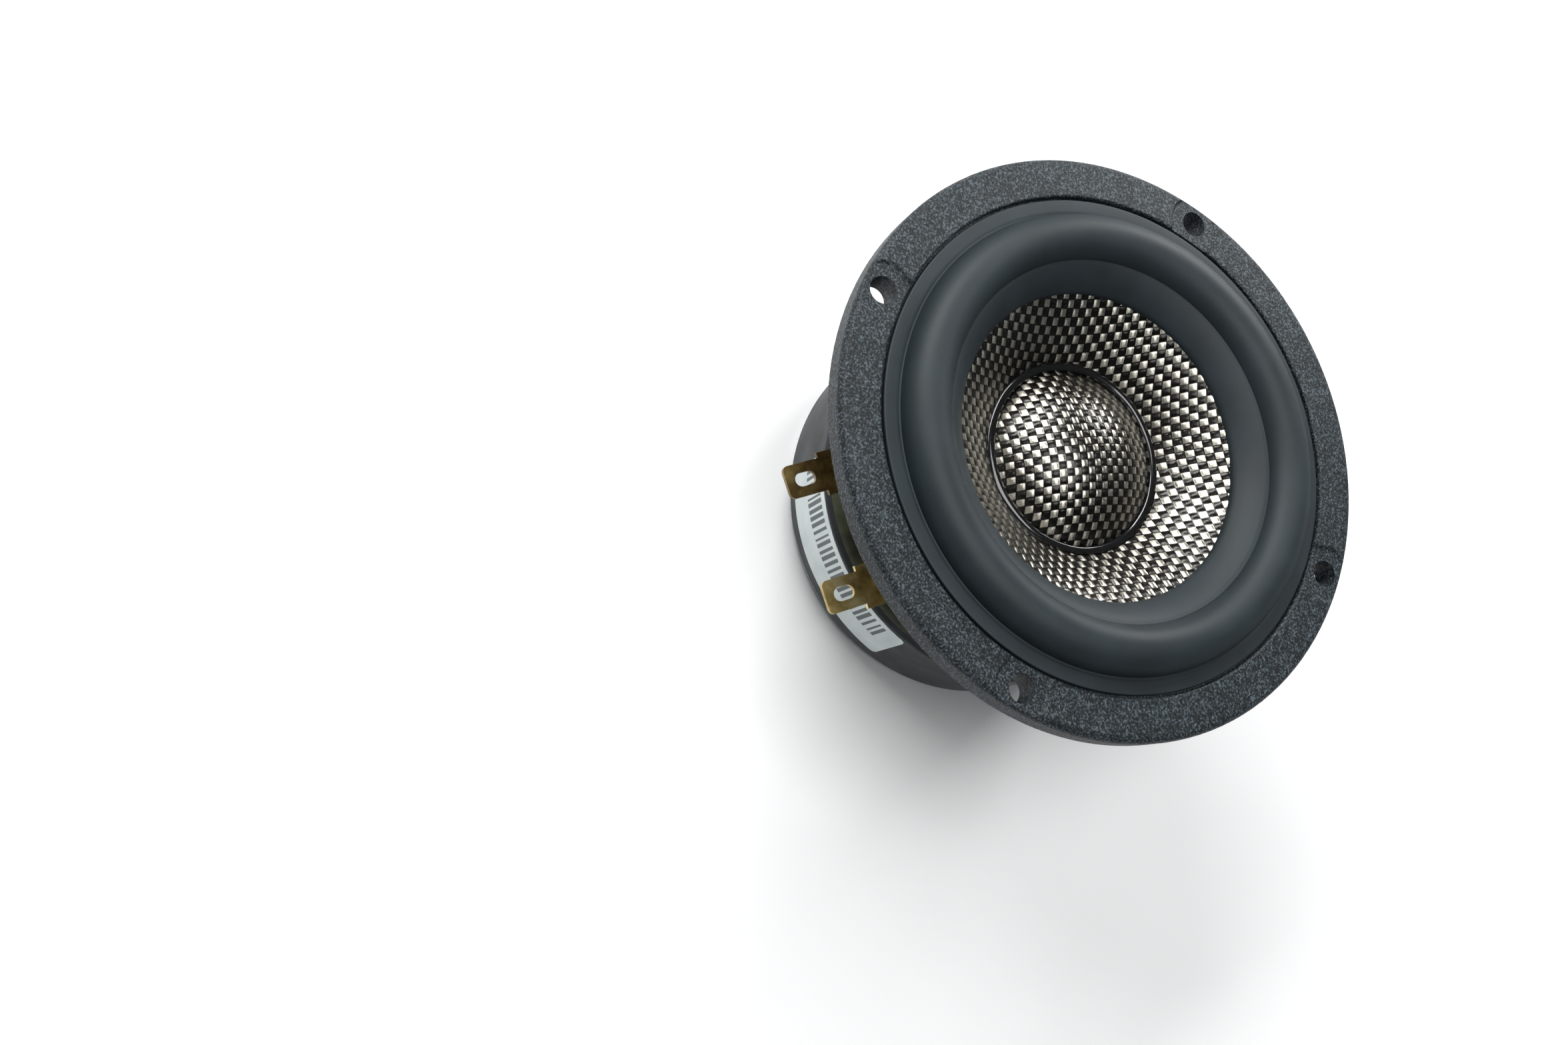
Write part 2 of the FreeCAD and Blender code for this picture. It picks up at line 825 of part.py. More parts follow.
def rounded_path(points):
    """Straight runs joined by tangent arcs, each arc as large as its two runs allow."""
    edges = []
    radii = []
    here = points[0]
    for before, corner, after in zip(points, points[1:], points[2:]):
        into = (corner - before)
        out = (after - corner)
        trim = lead_arc_share * min(into.Length, out.Length)
        turn = into.getAngle(out)
        radius = trim / math.tan(turn / 2)
        into.normalize()
        out.normalize()
        start = corner - into * trim
        end = corner + out * trim
        bisector = (out - into)
        bisector.normalize()
        middle = corner + bisector * (radius / math.cos(turn / 2) - radius)
        edges.append(Part.makeLine(here, start))
        edges.append(Part.Arc(start, middle, end).toShape())
        here = end
        radii.append(round(radius, 1))
    edges.append(Part.makeLine(here, points[-1]))
    return Part.Wire(edges), radii


def lead(side):
    points = lead_points(side)
    path, radii = rounded_path(points)
    first = points[1] - points[0]
    ring = Part.Wire(Part.makeCircle(lead_radius, points[0], first))
    solid = path.makePipeShell([ring], True, True)
    expected = math.pi * lead_radius ** 2 * path.Length
    share = solid.Volume / expected
    print("   lead length %.1f mm, bends %s, volume share %.3f" % (path.Length, radii, share))
    return solid


def largest(shape):
    return max(shape.Solids, key=lambda solid: solid.Volume)


def lead_solder():
    """A drop of solder behind each lug, round the lead's end."""
    drops = []
    for side in side_of.values():
        drop = Part.makeSphere(lead_blob_radius, lead_points(side)[0])
        drop = drop.cut(terminal(side)).cut(lead(side)).cut(terminal_board())
        drops.append(largest(drop))
    return Part.makeCompound(drops)


def lead_anchors():
    """A drop of adhesive on each side of the former, where a lead comes in."""
    drops = []
    core = Part.makeCylinder(former_outer_radius, far, V(0, 0, 0))
    core = core.fuse(Part.makeCylinder(collar_radius, far, V(0, 0, collar_bottom)))
    for side in side_of.values():
        drop = Part.makeSphere(lead_blob_radius, lead_points(side)[-1])
        drop = drop.cut(core).cut(lead(side)).cut(cone()).cut(neck_glue()).cut(spider())
        drops.append(largest(drop))
    return Part.makeCompound(drops)


def main():
    os.makedirs("parts", exist_ok=True)
    save("back_plate", back_plate())
    save("pole_piece", pole_piece())
    save("ferrite_magnet", ferrite_magnet())
    save("top_plate", top_plate())
    save("upper_glue_bead", upper_glue())
    save("lower_glue_bead", lower_glue())
    save("plate_screws", plate_screws())
    save("magnet_label", magnet_label())
    save("basket", basket())
    save("surround", surround())
    save("cone", cone())
    save("dust_cap", dust_cap())
    save("dust_cap_glue", dust_cap_glue())
    save("voice_coil_former", voice_coil_former())
    save("voice_coil_winding", voice_coil_winding())
    save("neck_glue", neck_glue())
    save("spider", spider())
    save("terminal_board", terminal_board())
    for node, side in side_of.items():
        save(node, terminal(side))
    save("terminal_rivets", terminal_rivets())
    save("board_rivet", board_rivet())
    for node, side in (("lead_positive", -1), ("lead_negative", 1)):
        save(node, lead(side))
    save("lead_solder", lead_solder())
    save("lead_anchors", lead_anchors())


main()
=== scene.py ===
# %% [markdown]
# # A four inch car door mid-woofer
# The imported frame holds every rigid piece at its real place, in metres, with the cone's axis along Z and
# the speaker standing on its back plate. This lesson dresses it. Turned and woven pieces are rebuilt as
# finer meshes, and each piece gets a finish that starts from what the real thing is made of and how it was
# made.

# %% Load the frame
import math

import bmesh
import bpy
import numpy as np
from mathutils import Matrix, Vector
from mathutils.bvhtree import BVHTree


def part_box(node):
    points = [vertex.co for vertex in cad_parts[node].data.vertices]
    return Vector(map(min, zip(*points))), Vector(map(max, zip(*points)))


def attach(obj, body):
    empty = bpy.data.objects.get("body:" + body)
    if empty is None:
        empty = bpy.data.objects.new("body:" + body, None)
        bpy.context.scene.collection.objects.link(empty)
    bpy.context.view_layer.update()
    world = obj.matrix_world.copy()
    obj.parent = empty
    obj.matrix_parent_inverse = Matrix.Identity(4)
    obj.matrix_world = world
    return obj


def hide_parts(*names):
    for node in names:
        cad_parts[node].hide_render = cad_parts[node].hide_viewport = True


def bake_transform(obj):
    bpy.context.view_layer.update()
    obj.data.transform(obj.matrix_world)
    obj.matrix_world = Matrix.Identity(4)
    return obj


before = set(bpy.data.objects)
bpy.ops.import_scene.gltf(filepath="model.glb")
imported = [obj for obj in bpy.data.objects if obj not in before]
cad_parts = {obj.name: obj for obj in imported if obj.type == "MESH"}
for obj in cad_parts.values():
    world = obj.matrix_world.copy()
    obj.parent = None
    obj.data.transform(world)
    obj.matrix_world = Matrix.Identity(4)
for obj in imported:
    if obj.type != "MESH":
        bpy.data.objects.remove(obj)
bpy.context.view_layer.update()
MM = 0.001

# %% [markdown]
# ## Camera
# The camera comes first, because it decides which details pay. It stands close, about 25 cm from the cone,
# on the terminals' side and well above the rim, and it is rolled so that the speaker leans across the
# frame. It could be aimed with a Track To constraint. A place, an aim and a roll written as values need no
# rig, and they can be read back. The lens is short for a product shot, which is why the near edge of the
# flange looks so large.

# %% Camera
SENSOR_WIDTH = 36.0
FOCAL_LENGTH_IN_WIDTHS = 0.8448
CAMERA_PLACE = Vector((-18.13, 157.13, 255.83)) * MM
CAMERA_AIM = Vector((1.89, 68.40, 64.0)) * MM
CAMERA_ROLL = math.radians(59.98)


def add_camera():
    data = bpy.data.cameras.new("camera")
    data.sensor_width = SENSOR_WIDTH
    data.lens = FOCAL_LENGTH_IN_WIDTHS * SENSOR_WIDTH
    data.clip_start = 0.01
    made = bpy.data.objects.new("camera", data)
    turn = (CAMERA_AIM - CAMERA_PLACE).to_track_quat("-Z", "Y").to_matrix()
    turn = turn @ Matrix.Rotation(CAMERA_ROLL, 3, "Z")
    made.matrix_world = Matrix.Translation(CAMERA_PLACE) @ turn.to_4x4()
    bpy.context.scene.collection.objects.link(made)
    bpy.context.scene.camera = made
    return made


camera = add_camera()
print("lens %.1f mm" % camera.data.lens)


# %% [markdown]
# ## Colour and node helpers
# Colours are written as sRGB hex values, as a paint chart gives them, and one function turns them into the
# linear values that light adds up in. One more function adds a shader node with its settings and its links.
# Every pattern below is built from it, in object space and in millimetres, so that a grain keeps its real
# size on any piece.

# %% Colour and node helpers
def linear(hex_colour):
    channels = [int(hex_colour[i:i + 2], 16) / 255 for i in (1, 3, 5)]
    return [c / 12.92 if c <= 0.04045 else ((c + 0.055) / 1.055) ** 2.4 for c in channels] + [1.0]


def add(tree, kind, sockets=(), out=0, into=None, stops=(), **settings):
    """Adds a node and returns one of its outputs. A socket, named or in order, takes a value or another
    node's output to link from. Into is a socket that this output is linked to. Stops are a colour
    ramp's (place, hex colour) pairs."""
    made = tree.nodes.new("ShaderNode" + kind)
    for name, value in settings.items():
        setattr(made, name, value)
    for name, value in sockets.items() if isinstance(sockets, dict) else enumerate(sockets):
        if isinstance(value, bpy.types.NodeSocket):
            tree.links.new(value, made.inputs[name])
        else:
            made.inputs[name].default_value = value
    for n, (place, colour) in enumerate(stops):
        element = made.color_ramp.elements[n] if n < 2 else made.color_ramp.elements.new(place)
        element.position = place
        element.color = linear(colour)
    if into is not None:
        tree.links.new(made.outputs[out], into)
    return made.outputs[out]


def finish(name, **sockets):
    """A new material whose Principled shader has these sockets set, and its node tree."""
    material = bpy.data.materials.new(name)
    material.use_nodes = True
    tree = material.node_tree
    tree.nodes.clear()
    values = {key.replace("_", " "): value for key, value in sockets.items()}
    surface = add(tree, "BsdfPrincipled", values)
    tree.links.new(surface, tree.nodes.new("ShaderNodeOutputMaterial").inputs["Surface"])
    return material, tree, surface.node


def grain(tree, size_mm, detail=2.0, roughness=0.5, stretch=(1, 1, 1), lumps=False):
    """Noise in object space whose lumps are about size_mm across. Lumps gives rounded cells instead."""
    place = add(tree, "TexCoord", out="Object")
    scaled = add(tree, "Mapping", {"Vector": place, "Scale": stretch})
    scale = 1 / (size_mm * MM)
    if lumps:
        return add(tree, "TexVoronoi", {"Vector": scaled, "Scale": scale}, "Distance")
    sockets = {"Vector": scaled, "Scale": scale, "Detail": detail, "Roughness": roughness}
    return add(tree, "TexNoise", sockets, "Fac")


# %% [markdown]
# ## Floor and studio light
# A pale paper sweep and soft boxes. The key is a long strip box beside the speaker, so that the dome's near
# side and the cone's far slope catch it. A wide box overhead draws the broad lights along the rubber roll,
# and a smaller one behind lights the dome's far edge. One sky image could do all this, but area lights have
# known sizes and places. The walls are pale, and the ceiling is kept dim, because woven metal needs
# something dark to reflect as well.

# %% Floor and lights
FLOOR_HALF_SIDE = 1.2
WALL_GLOW = 0.62
CEILING_GLOW = 0.12
WALL_FADE_FROM = 0.12
WALL_FADE_TO = 0.42
LIGHT_AIM = Vector((0, 0, 0.05))
SOFT_BOXES = [("key", (0.37, 0.06, 0.38), (0.46, 0.13), 2.9),
              ("rim", (0.20, -0.40, 0.24), (0.20, 0.12), 1.3),
              ("top", (-0.04, 0.06, 0.62), (0.36, 0.36), 2.2)]


def add_soft_box(name, place, size, power):
    """A rectangular light of this size in metres and power in watts, turned towards the speaker."""
    data = bpy.data.lights.new(name, "AREA")
    data.shape = "RECTANGLE"
    data.size, data.size_y = size
    data.energy = power
    lamp = bpy.data.objects.new(name, data)
    lamp.location = place
    lamp.rotation_euler = (LIGHT_AIM - Vector(place)).to_track_quat("-Z", "Y").to_euler()
    bpy.context.scene.collection.objects.link(lamp)


def add_floor():
    s = FLOOR_HALF_SIDE
    mesh = bpy.data.meshes.new("floor")
    mesh.from_pydata([(-s, -s, 0), (s, -s, 0), (s, s, 0), (-s, s, 0)], [], [(0, 1, 2, 3)])
    floor = bpy.data.objects.new("floor", mesh)
    bpy.context.scene.collection.objects.link(floor)
    paper, tree, shader = finish("white_paper_sweep", Roughness=0.85)
    tint = add(tree, "ValToRGB", (grain(tree, 30),), stops=((0.3, "#f8f8f8"), (0.7, "#fbfbfb")))
    tree.links.new(tint, shader.inputs["Base Color"])
    mesh.materials.append(paper)


def add_world():
    world = bpy.data.worlds.new("studio")
    world.use_nodes = True
    tree = world.node_tree
    background = tree.nodes["Background"]
    background.inputs["Color"].default_value = linear("#eaf1f4")
    way = add(tree, "SeparateXYZ", (add(tree, "TexCoord", out="Generated"),)).node
    height = {"Value": way.outputs["Z"], "From Min": WALL_FADE_FROM, "From Max": WALL_FADE_TO}
    glow = {**height, "To Min": WALL_GLOW, "To Max": CEILING_GLOW}
    add(tree, "MapRange", glow, into=background.inputs["Strength"])
    bpy.context.scene.world = world


add_floor()
add_world()
for box in SOFT_BOXES:
    add_soft_box(*box)
bpy.context.scene.view_settings.view_transform = "Standard"


# %% [markdown]
# ## Turned pieces
# Most of a speaker is round, so most pieces are turned: a profile in millimetres is swept round the axis.
# The CAD mesh would do for the shape, but its facets show in a glossy edge, so these rings use many more
# segments, rounded corners, and a little waviness where adhesive was laid by hand.

# %% Profiles and lathe
def arc(start, middle, end, steps):
    """Points on the circle through three points, from start to end."""
    (ax, ay), (bx, by), (cx, cy) = start, middle, end
    d = 2 * (ax * (by - cy) + bx * (cy - ay) + cx * (ay - by))
    a2, b2, c2 = ax * ax + ay * ay, bx * bx + by * by, cx * cx + cy * cy
    ox = (a2 * (by - cy) + b2 * (cy - ay) + c2 * (ay - by)) / d
    oy = (a2 * (cx - bx) + b2 * (ax - cx) + c2 * (bx - ax)) / d
    radius = math.hypot(ax - ox, ay - oy)
    first = math.atan2(ay - oy, ax - ox)
    turn = (math.atan2(cy - oy, cx - ox) - first) % (2 * math.pi)
    through = (math.atan2(by - oy, bx - ox) - first) % (2 * math.pi)
    if through > turn:
        turn -= 2 * math.pi
    angles = [first + turn * n / steps for n in range(steps + 1)]
    return [(ox + radius * math.cos(a), oy + radius * math.sin(a)) for a in angles]


def rounded(corners, steps=4):
    """A closed profile from (radius, height, rounding) corners."""
    points = []
    for n, (r, z, rounding) in enumerate(corners):
        here = Vector((r, z))
        if not rounding:
            points.append((r, z))
            continue
        into = (Vector(corners[n - 1][:2]) - here).normalized() * rounding
        out = (Vector(corners[(n + 1) % len(corners)][:2]) - here).normalized() * rounding
        for k in range(steps + 1):
            t = k / steps
            points.append(tuple(here + into * (1 - t) ** 2 + out * t ** 2))
    return points


def lathe(name, profile, segments=256, wave=None, sharp=40):
    """Sweeps a closed (radius, height) profile in mm round Z. wave(angles, n) moves point n outwards."""
    angles = np.linspace(0, 2 * math.pi, segments, endpoint=False)
    rings = []
    for n, (r, z) in enumerate(profile):
        radius = r + (wave(angles, n) if wave else 0 * angles)
        rings.append(np.stack([radius * np.cos(angles), radius * np.sin(angles), z + 0 * angles], 1))
    points = np.concatenate(rings) * MM
    count = len(profile)
    a = np.arange(count)[:, None] * segments
    b = ((np.arange(count) + 1) % count)[:, None] * segments
    s = np.arange(segments)[None, :]
    t = (s + 1) % segments
    quads = np.stack([a + s, a + t, b + t, b + s], 2).reshape(-1, 4)
    return mesh_object(name, points, quads, sharp)


def mesh_object(name, points, faces, sharp=40):
    mesh = bpy.data.meshes.new(name)
    mesh.from_pydata(points.tolist(), [], faces.tolist())
    mesh.validate()
    mesh.shade_smooth()
    if sharp:
        mesh.set_sharp_from_angle(angle=math.radians(sharp))
    made = bpy.data.objects.new(name, mesh)
    bpy.context.scene.collection.objects.link(made)
    return made


def facing_out(made):
    """Turns a closed mesh's faces outwards."""
    work = bmesh.new()
    work.from_mesh(made.data)
    bmesh.ops.recalc_face_normals(work, faces=work.faces)
    work.to_mesh(made.data)
    work.free()
    return made


def fit(made, node, material, body):
    """Gives a piece its finish and, when one is named, its body, and hides the CAD node that it stands for.
    """
    made.data.materials.append(material)
    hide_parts(node)
    if body:
        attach(made, body)
    print("%-22s %7d faces" % (made.name, len(made.data.polygons)))
    return made


def low(node, axis=2):
    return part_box(node)[0][axis] / MM


def high(node, axis=2):
    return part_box(node)[1][axis] / MM


# %% [markdown]
# ## Measuring the frame
# A ray dropped onto a CAD node gives the height of its surface. Rays along one radius give the whole
# profile of a turned piece, so that the finer meshes follow the same curve without repeating its sizes.

# %% Height of a node along a radius
def heights(node, radii, from_below=False):
    """Heights in mm of a CAD node's top, or underside, at these radii on the X axis."""
    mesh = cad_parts[node].data
    corners = [v.co for v in mesh.vertices]
    target = BVHTree.FromPolygons(corners, [tuple(f.vertices) for f in mesh.polygons])
    found = []
    for r in radii:
        start = Vector((r * MM, 1e-6, -0.1 if from_below else 0.2))
        way = Vector((0, 0, 1 if from_below else -1))
        place = target.ray_cast(start, way)[0]
        found.append(place.z / MM)
    return np.array(found)


def height_at(node, radius, from_below=False):
    return float(heights(node, [radius], from_below)[0])


# %% [markdown]
# ## Woven glass cloth
# The cone and the dust cap are pressed from a plain weave of aluminised glass tows under a clear lacquer.
# All the tows are silver; where the tows of the other direction lie on top they are painted near black, and
# so are the grooves along every tow's edge: painted shade for the reflection that they miss. Each tow
# crossing is a small pillow, 1.4 mm square, so the relief is real geometry: a fine grid pressed onto the CAD
# surface. The
# shine is anisotropic: a tow shines across its own fibres, so the direction flips between neighbouring
# squares and the checker turns bright or dark as the light moves.

# %% Woven cloth material
TOW_PITCH = 1.4
WEAVE_TURN = math.radians(-11.5)
FIBRE_SPACING = 0.07


def weave_waves(tree):
    """Cosines across the two tow directions, and the turned place that they come from."""
    place = add(tree, "TexCoord", out="Object")
    turned = add(tree, "VectorRotate", {"Vector": place, "Angle": -WEAVE_TURN}, rotation_type="Z_AXIS")
    split = add(tree, "SeparateXYZ", (turned,)).node
    step = math.pi / (TOW_PITCH * MM)
    angle_x = add(tree, "Math", (split.outputs["X"], step), operation="MULTIPLY")
    wave_x = add(tree, "Math", (angle_x,), operation="COSINE")
    angle_y = add(tree, "Math", (split.outputs["Y"], step), operation="MULTIPLY")
    wave_y = add(tree, "Math", (angle_y,), operation="COSINE")
    return turned, wave_x, wave_y


def woven_cloth(name, silver, silver_dark, black, painted_shade_streak):
    material, tree, shader = finish(name, Anisotropic=0.85, Coat_Weight=0.25, Coat_Roughness=0.10)
    turned, wave_x, wave_y = weave_waves(tree)
    crossing = add(tree, "Math", (wave_x, wave_y), operation="MULTIPLY")
    on_top = add(tree, "MapRange", {"Value": crossing, "From Min": -0.03, "From Max": 0.05})
    along_x = add(tree, "Mapping", {"Vector": turned, "Scale": (0.08, 1, 1)})
    along_y = add(tree, "Mapping", {"Vector": turned, "Scale": (1, 0.08, 1)})
    fine = {"Scale": 1 / (FIBRE_SPACING * MM), "Detail": 1.0}
    fibres_x = add(tree, "TexNoise", {"Vector": along_x, **fine}, "Fac")
    fibres_y = add(tree, "TexNoise", {"Vector": along_y, **fine}, "Fac")
    fibres = add(tree, "Mix", {"Factor": on_top, "A": fibres_x, "B": fibres_y})
    shiny = add(tree, "ValToRGB", (fibres,), stops=((0.30, silver_dark), (0.62, silver)))
    # Painted shade: these tows are silver glass too, painted near black with faint streaks along the fibres.
    painted_shade_tows = add(tree, "ValToRGB", (fibres,), stops=((0.35, black), (0.70, painted_shade_streak)))
    colour = add(tree, "Mix", {"Factor": on_top, "A": painted_shade_tows, "B": shiny}, "Result", data_type="RGBA")
    sizes = [add(tree, "Math", (wave,), operation="ABSOLUTE") for wave in (wave_x, wave_y)]
    nearest = add(tree, "Math", sizes, operation="MINIMUM")
    open_face = add(tree, "MapRange", {"Value": nearest, "From Min": 0.04, "From Max": 0.34})
    # Painted shade: the colour goes black along the edge of every tow, in the grooves between the pillows.
    painted_groove_shade = {"Factor": open_face, "A": linear(black), "B": colour}
    add(tree, "Mix", painted_groove_shade, "Result", shader.inputs["Base Color"], data_type="RGBA")
    add(tree, "MapRange", {"Value": on_top, "To Min": 0.85, "To Max": 1.0}, into=shader.inputs["Metallic"])
    add(tree, "MapRange", {"Value": fibres, "To Min": 0.24, "To Max": 0.42}, into=shader.inputs["Roughness"])
    turn = Vector((math.cos(WEAVE_TURN), math.sin(WEAVE_TURN), 0))
    across = Vector((-turn.y, turn.x, 0))
    way = {"Factor": on_top, "A": tuple(across), "B": tuple(turn)}
    add(tree, "Mix", way, "Result", shader.inputs["Tangent"], data_type="VECTOR")
    add(tree, "Bump", {"Height": fibres, "Distance": 0.012 * MM, "Strength": 0.5},
        into=shader.inputs["Normal"])
    return material


# The third and fourth colours are painted shade: the silver tows of one direction, painted near black.
woven_glass = woven_cloth("aluminised_glass_weave", "#d4d0c4", "#8d897e", "#0b0b0a", "#34322e")
print("woven cloth, squares of %.2f mm" % TOW_PITCH)


# %% [markdown]
# ## Back of the cone
# Behind, the cloth is soaked in black resin, and a pinhole is left at each corner of the weave, where light
# comes through. The holes could be cut in the mesh, thousands of them. They are a third of a millimetre
# wide and seen only through the windows, so a pale spot at each corner, from the same two waves as the
# front, tells as much.

# %% Back of the cone
def laced_back():
    """Black resin with a pale spot at each corner of the weave."""
    material, tree, shader = finish("black_resin_backed_weave", Coat_Weight=0.2)
    turned, wave_x, wave_y = weave_waves(tree)
    sizes = [add(tree, "Math", (wave,), operation="ABSOLUTE") for wave in (wave_x, wave_y)]
    corner = add(tree, "Math", sizes, operation="MAXIMUM")
    pinhole = add(tree, "MapRange", {"Value": corner, "From Min": 0.34, "From Max": 0.20})
    add(tree, "ValToRGB", (pinhole,), stops=((0.0, "#121212"), (1.0, "#dfe3e2")),
        into=shader.inputs["Base Color"])
    add(tree, "MapRange", {"Value": pinhole, "To Min": 0.48, "To Max": 0.7}, into=shader.inputs["Roughness"])
    crossing = add(tree, "Math", (wave_x, wave_y), operation="MULTIPLY")
    relief = add(tree, "Math", (crossing,), operation="ABSOLUTE")
    add(tree, "Bump", {"Height": relief, "Distance": 0.10 * MM}, into=shader.inputs["Normal"])
    return material


cone_backing = laced_back()


# %% [markdown]
# ## Pressed cloth
# Cloth and resin are pressed hot in a tool, so every crossing stays proud as a pillow, which falls away
# gently along its own tow and steeply at its sides. A displacement texture could lift a plain mesh, but its
# squares would have to meet the mesh's own rings. Here the grid of the mesh is the grid of the weave: six
# cells to a tow, laid over the piece's own profile.

# %% Pressed cloth relief
CELLS_PER_TOW = 6
PILLOW_HEIGHT = 0.15
ROUND_ALONG = 0.8
ROUND_ACROSS = 0.35


def pillow(x, y):
    """Height of the cloth over its lowest points, 0 to 1, at places in mm."""
    c, s = math.cos(WEAVE_TURN), math.sin(WEAVE_TURN)
    u = (x * c + y * s) / TOW_PITCH
    v = (-x * s + y * c) / TOW_PITCH
    wave_u, wave_v = np.cos(math.pi * u), np.cos(math.pi * v)
    round_u, round_v = np.abs(wave_u), np.abs(wave_v)
    silver_on_top = wave_u * wave_v > 0
    along_u = round_u ** ROUND_ALONG * round_v ** ROUND_ACROSS
    along_v = round_v ** ROUND_ALONG * round_u ** ROUND_ACROSS
    return np.where(silver_on_top, along_v, along_u)


def pressed_cloth(radii, profile, inner, outer):
    """Points and quads of a woven grid between two radii, standing on a profile of heights over radii."""
    step = TOW_PITCH / CELLS_PER_TOW
    n = int(outer / step) + 1
    c, s = math.cos(WEAVE_TURN), math.sin(WEAVE_TURN)
    line = np.arange(-n, n + 1) * step
    u, v = np.meshgrid(line, line, indexing="ij")
    x, y = u * c - v * s, u * s + v * c
    r = np.hypot(x, y)
    slope = np.interp(r, radii, np.gradient(profile, radii))
    lift = PILLOW_HEIGHT * pillow(x, y)
    lean = 1 / np.sqrt(1 + slope ** 2)
    out = -lift * slope * lean / np.maximum(r, 1e-6)
    z = np.interp(r, radii, profile) + lift * lean
    points = np.stack([x + x * out, y + y * out, z], 2).reshape(-1, 3)
    inside = (r <= outer) & (r >= inner)
    keep = inside[:-1, :-1] & inside[1:, :-1] & inside[1:, 1:] & inside[:-1, 1:]
    i, j = np.nonzero(keep)
    width = line.size
    quads = np.stack([i * width + j, (i + 1) * width + j, (i + 1) * width + j + 1, i * width + j + 1], 1)
    used, quads = np.unique(quads, return_inverse=True)
    return points[used] * MM, quads.reshape(-1, 4)


def joined(first, second):
    """One object from two; the second's faces take the next material slot."""
    count = len(first.data.polygons)
    with bpy.context.temp_override(active_object=first, selected_editable_objects=[first, second]):
        bpy.ops.object.join()
    index = [0] * count + [1] * (len(first.data.polygons) - count)
    first.data.polygons.foreach_set("material_index", index)
    return first


# %% [markdown]
# ## Cone and dust cap
# Each is one pressing: a shell with a black back and the woven face on it. The shell is turned from the
# heights of the CAD piece, read above and below, and the pressed cloth is joined to it a twentieth of a
# millimetre higher, as a second material slot. One object per pressing keeps them one piece, as they are on
# the bench.

# %% Cone and dust cap
def smooth_profile(radii, profile, bends=5):
    """The facets of a sampled profile are evened out with a low polynomial."""
    return np.polyval(np.polyfit(radii, profile, bends), radii)


PROFILE_POINTS = 60
CLOTH_GAP = 0.05
LIP_COVER = 0.9
COLLAR_WALL = 0.7
COLLAR_TO_CONE = 0.9
CAP_WALL = 0.5
CAP_BENDS = 6
UNDER_RING = 0.8
ON_AXIS = 0.001


def add_cone():
    inner, outer = high("voice_coil_former", 0), high("cone", 0)
    radii = np.linspace(inner + COLLAR_TO_CONE, outer - CLOTH_GAP, PROFILE_POINTS)
    top = smooth_profile(radii, heights("cone", radii))
    under = smooth_profile(radii, heights("cone", radii, from_below=True))
    profile = [(inner, low("cone")), (inner + COLLAR_WALL, low("cone"))] + list(zip(radii, under))
    profile += [(outer, high("cone"))] + list(zip(radii, top - CLOTH_GAP))[::-1] + [(inner, top[0])]
    shell = lathe("woven_cone", profile, 360)
    cap_rim = high("dust_cap", 0)
    cloth = mesh_object("cloth", *pressed_cloth(radii, top, cap_rim - UNDER_RING, outer - LIP_COVER), 0)
    shell = joined(shell, cloth)
    fit(shell, "cone", cone_backing, "cone_assembly")
    shell.data.materials.append(woven_glass)


def add_dust_cap():
    rim = high("dust_cap", 0)
    radii = np.linspace(0.0, rim - CLOTH_GAP, PROFILE_POINTS)
    top = smooth_profile(radii, heights("dust_cap", np.maximum(radii, 0.02)), CAP_BENDS)
    outside = list(zip(radii, top - CLOTH_GAP))
    outside[0] = (ON_AXIS, top[0] - CLOTH_GAP)
    inside = [(max(r - CAP_WALL / 2, ON_AXIS), z - CAP_WALL) for r, z in outside]
    shell = lathe("woven_cap", outside + inside[::-1], 256)
    cloth = mesh_object("cloth", *pressed_cloth(radii, top, 0, rim - 2 * CLOTH_GAP), 0)
    shell = joined(shell, cloth)
    fit(shell, "dust_cap", cone_backing, "cone_assembly")
    shell.data.materials.append(woven_glass)


add_cone()
add_dust_cap()


# %% [markdown]
# ## Black ring round the dust cap
# A bead of black contact adhesive, laid wet by a nozzle on a turntable and left glossy. A torus would be
# too even. A turned ring with an almost round section, whose width wanders by a twentieth of a millimetre,
# breaks the highlight along it as the real one does.

# %% Adhesive ring
def glossy_black():
    material, tree, shader = finish("black_contact_adhesive", Roughness=0.16, IOR=1.5, Coat_Weight=0.6,
                                    Coat_Roughness=0.05)
    tint = add(tree, "ValToRGB", (grain(tree, 2.0),), stops=((0.3, "#060606"), (0.8, "#101011")))
    tree.links.new(tint, shader.inputs["Base Color"])
    add(tree, "Bump", {"Height": grain(tree, 1.8, 1.0), "Distance": 0.05 * MM, "Strength": 0.5},
        into=shader.inputs["Normal"])
    return material


adhesive = glossy_black()
RING_REACH = 0.6
RING_WIDTH = 1.5
RING_CREST = 1.12


def add_cap_ring():
    rim = high("dust_cap", 0)
    foot = height_at("cone", rim + RING_REACH)
    inner_foot = height_at("cone", rim - RING_REACH)
    profile = [(rim - 0.9, inner_foot - 0.3), (rim + RING_WIDTH, foot + 0.1)]
    crest = (rim + 0.35, foot + RING_CREST)
    profile += arc((rim + RING_WIDTH - 0.15, foot + 0.45), crest, (rim - 0.55, foot + 0.75), 10)

    def wave(angles, n):
        return 0.05 * np.sin(3 * angles + n) + 0.03 * np.sin(11 * angles + 2) if n > 0 else 0 * angles

    ring = facing_out(lathe("cap_adhesive_ring", profile, 256, wave, 60))
    fit(ring, "dust_cap_glue", adhesive, "cone_assembly")


add_cap_ring()
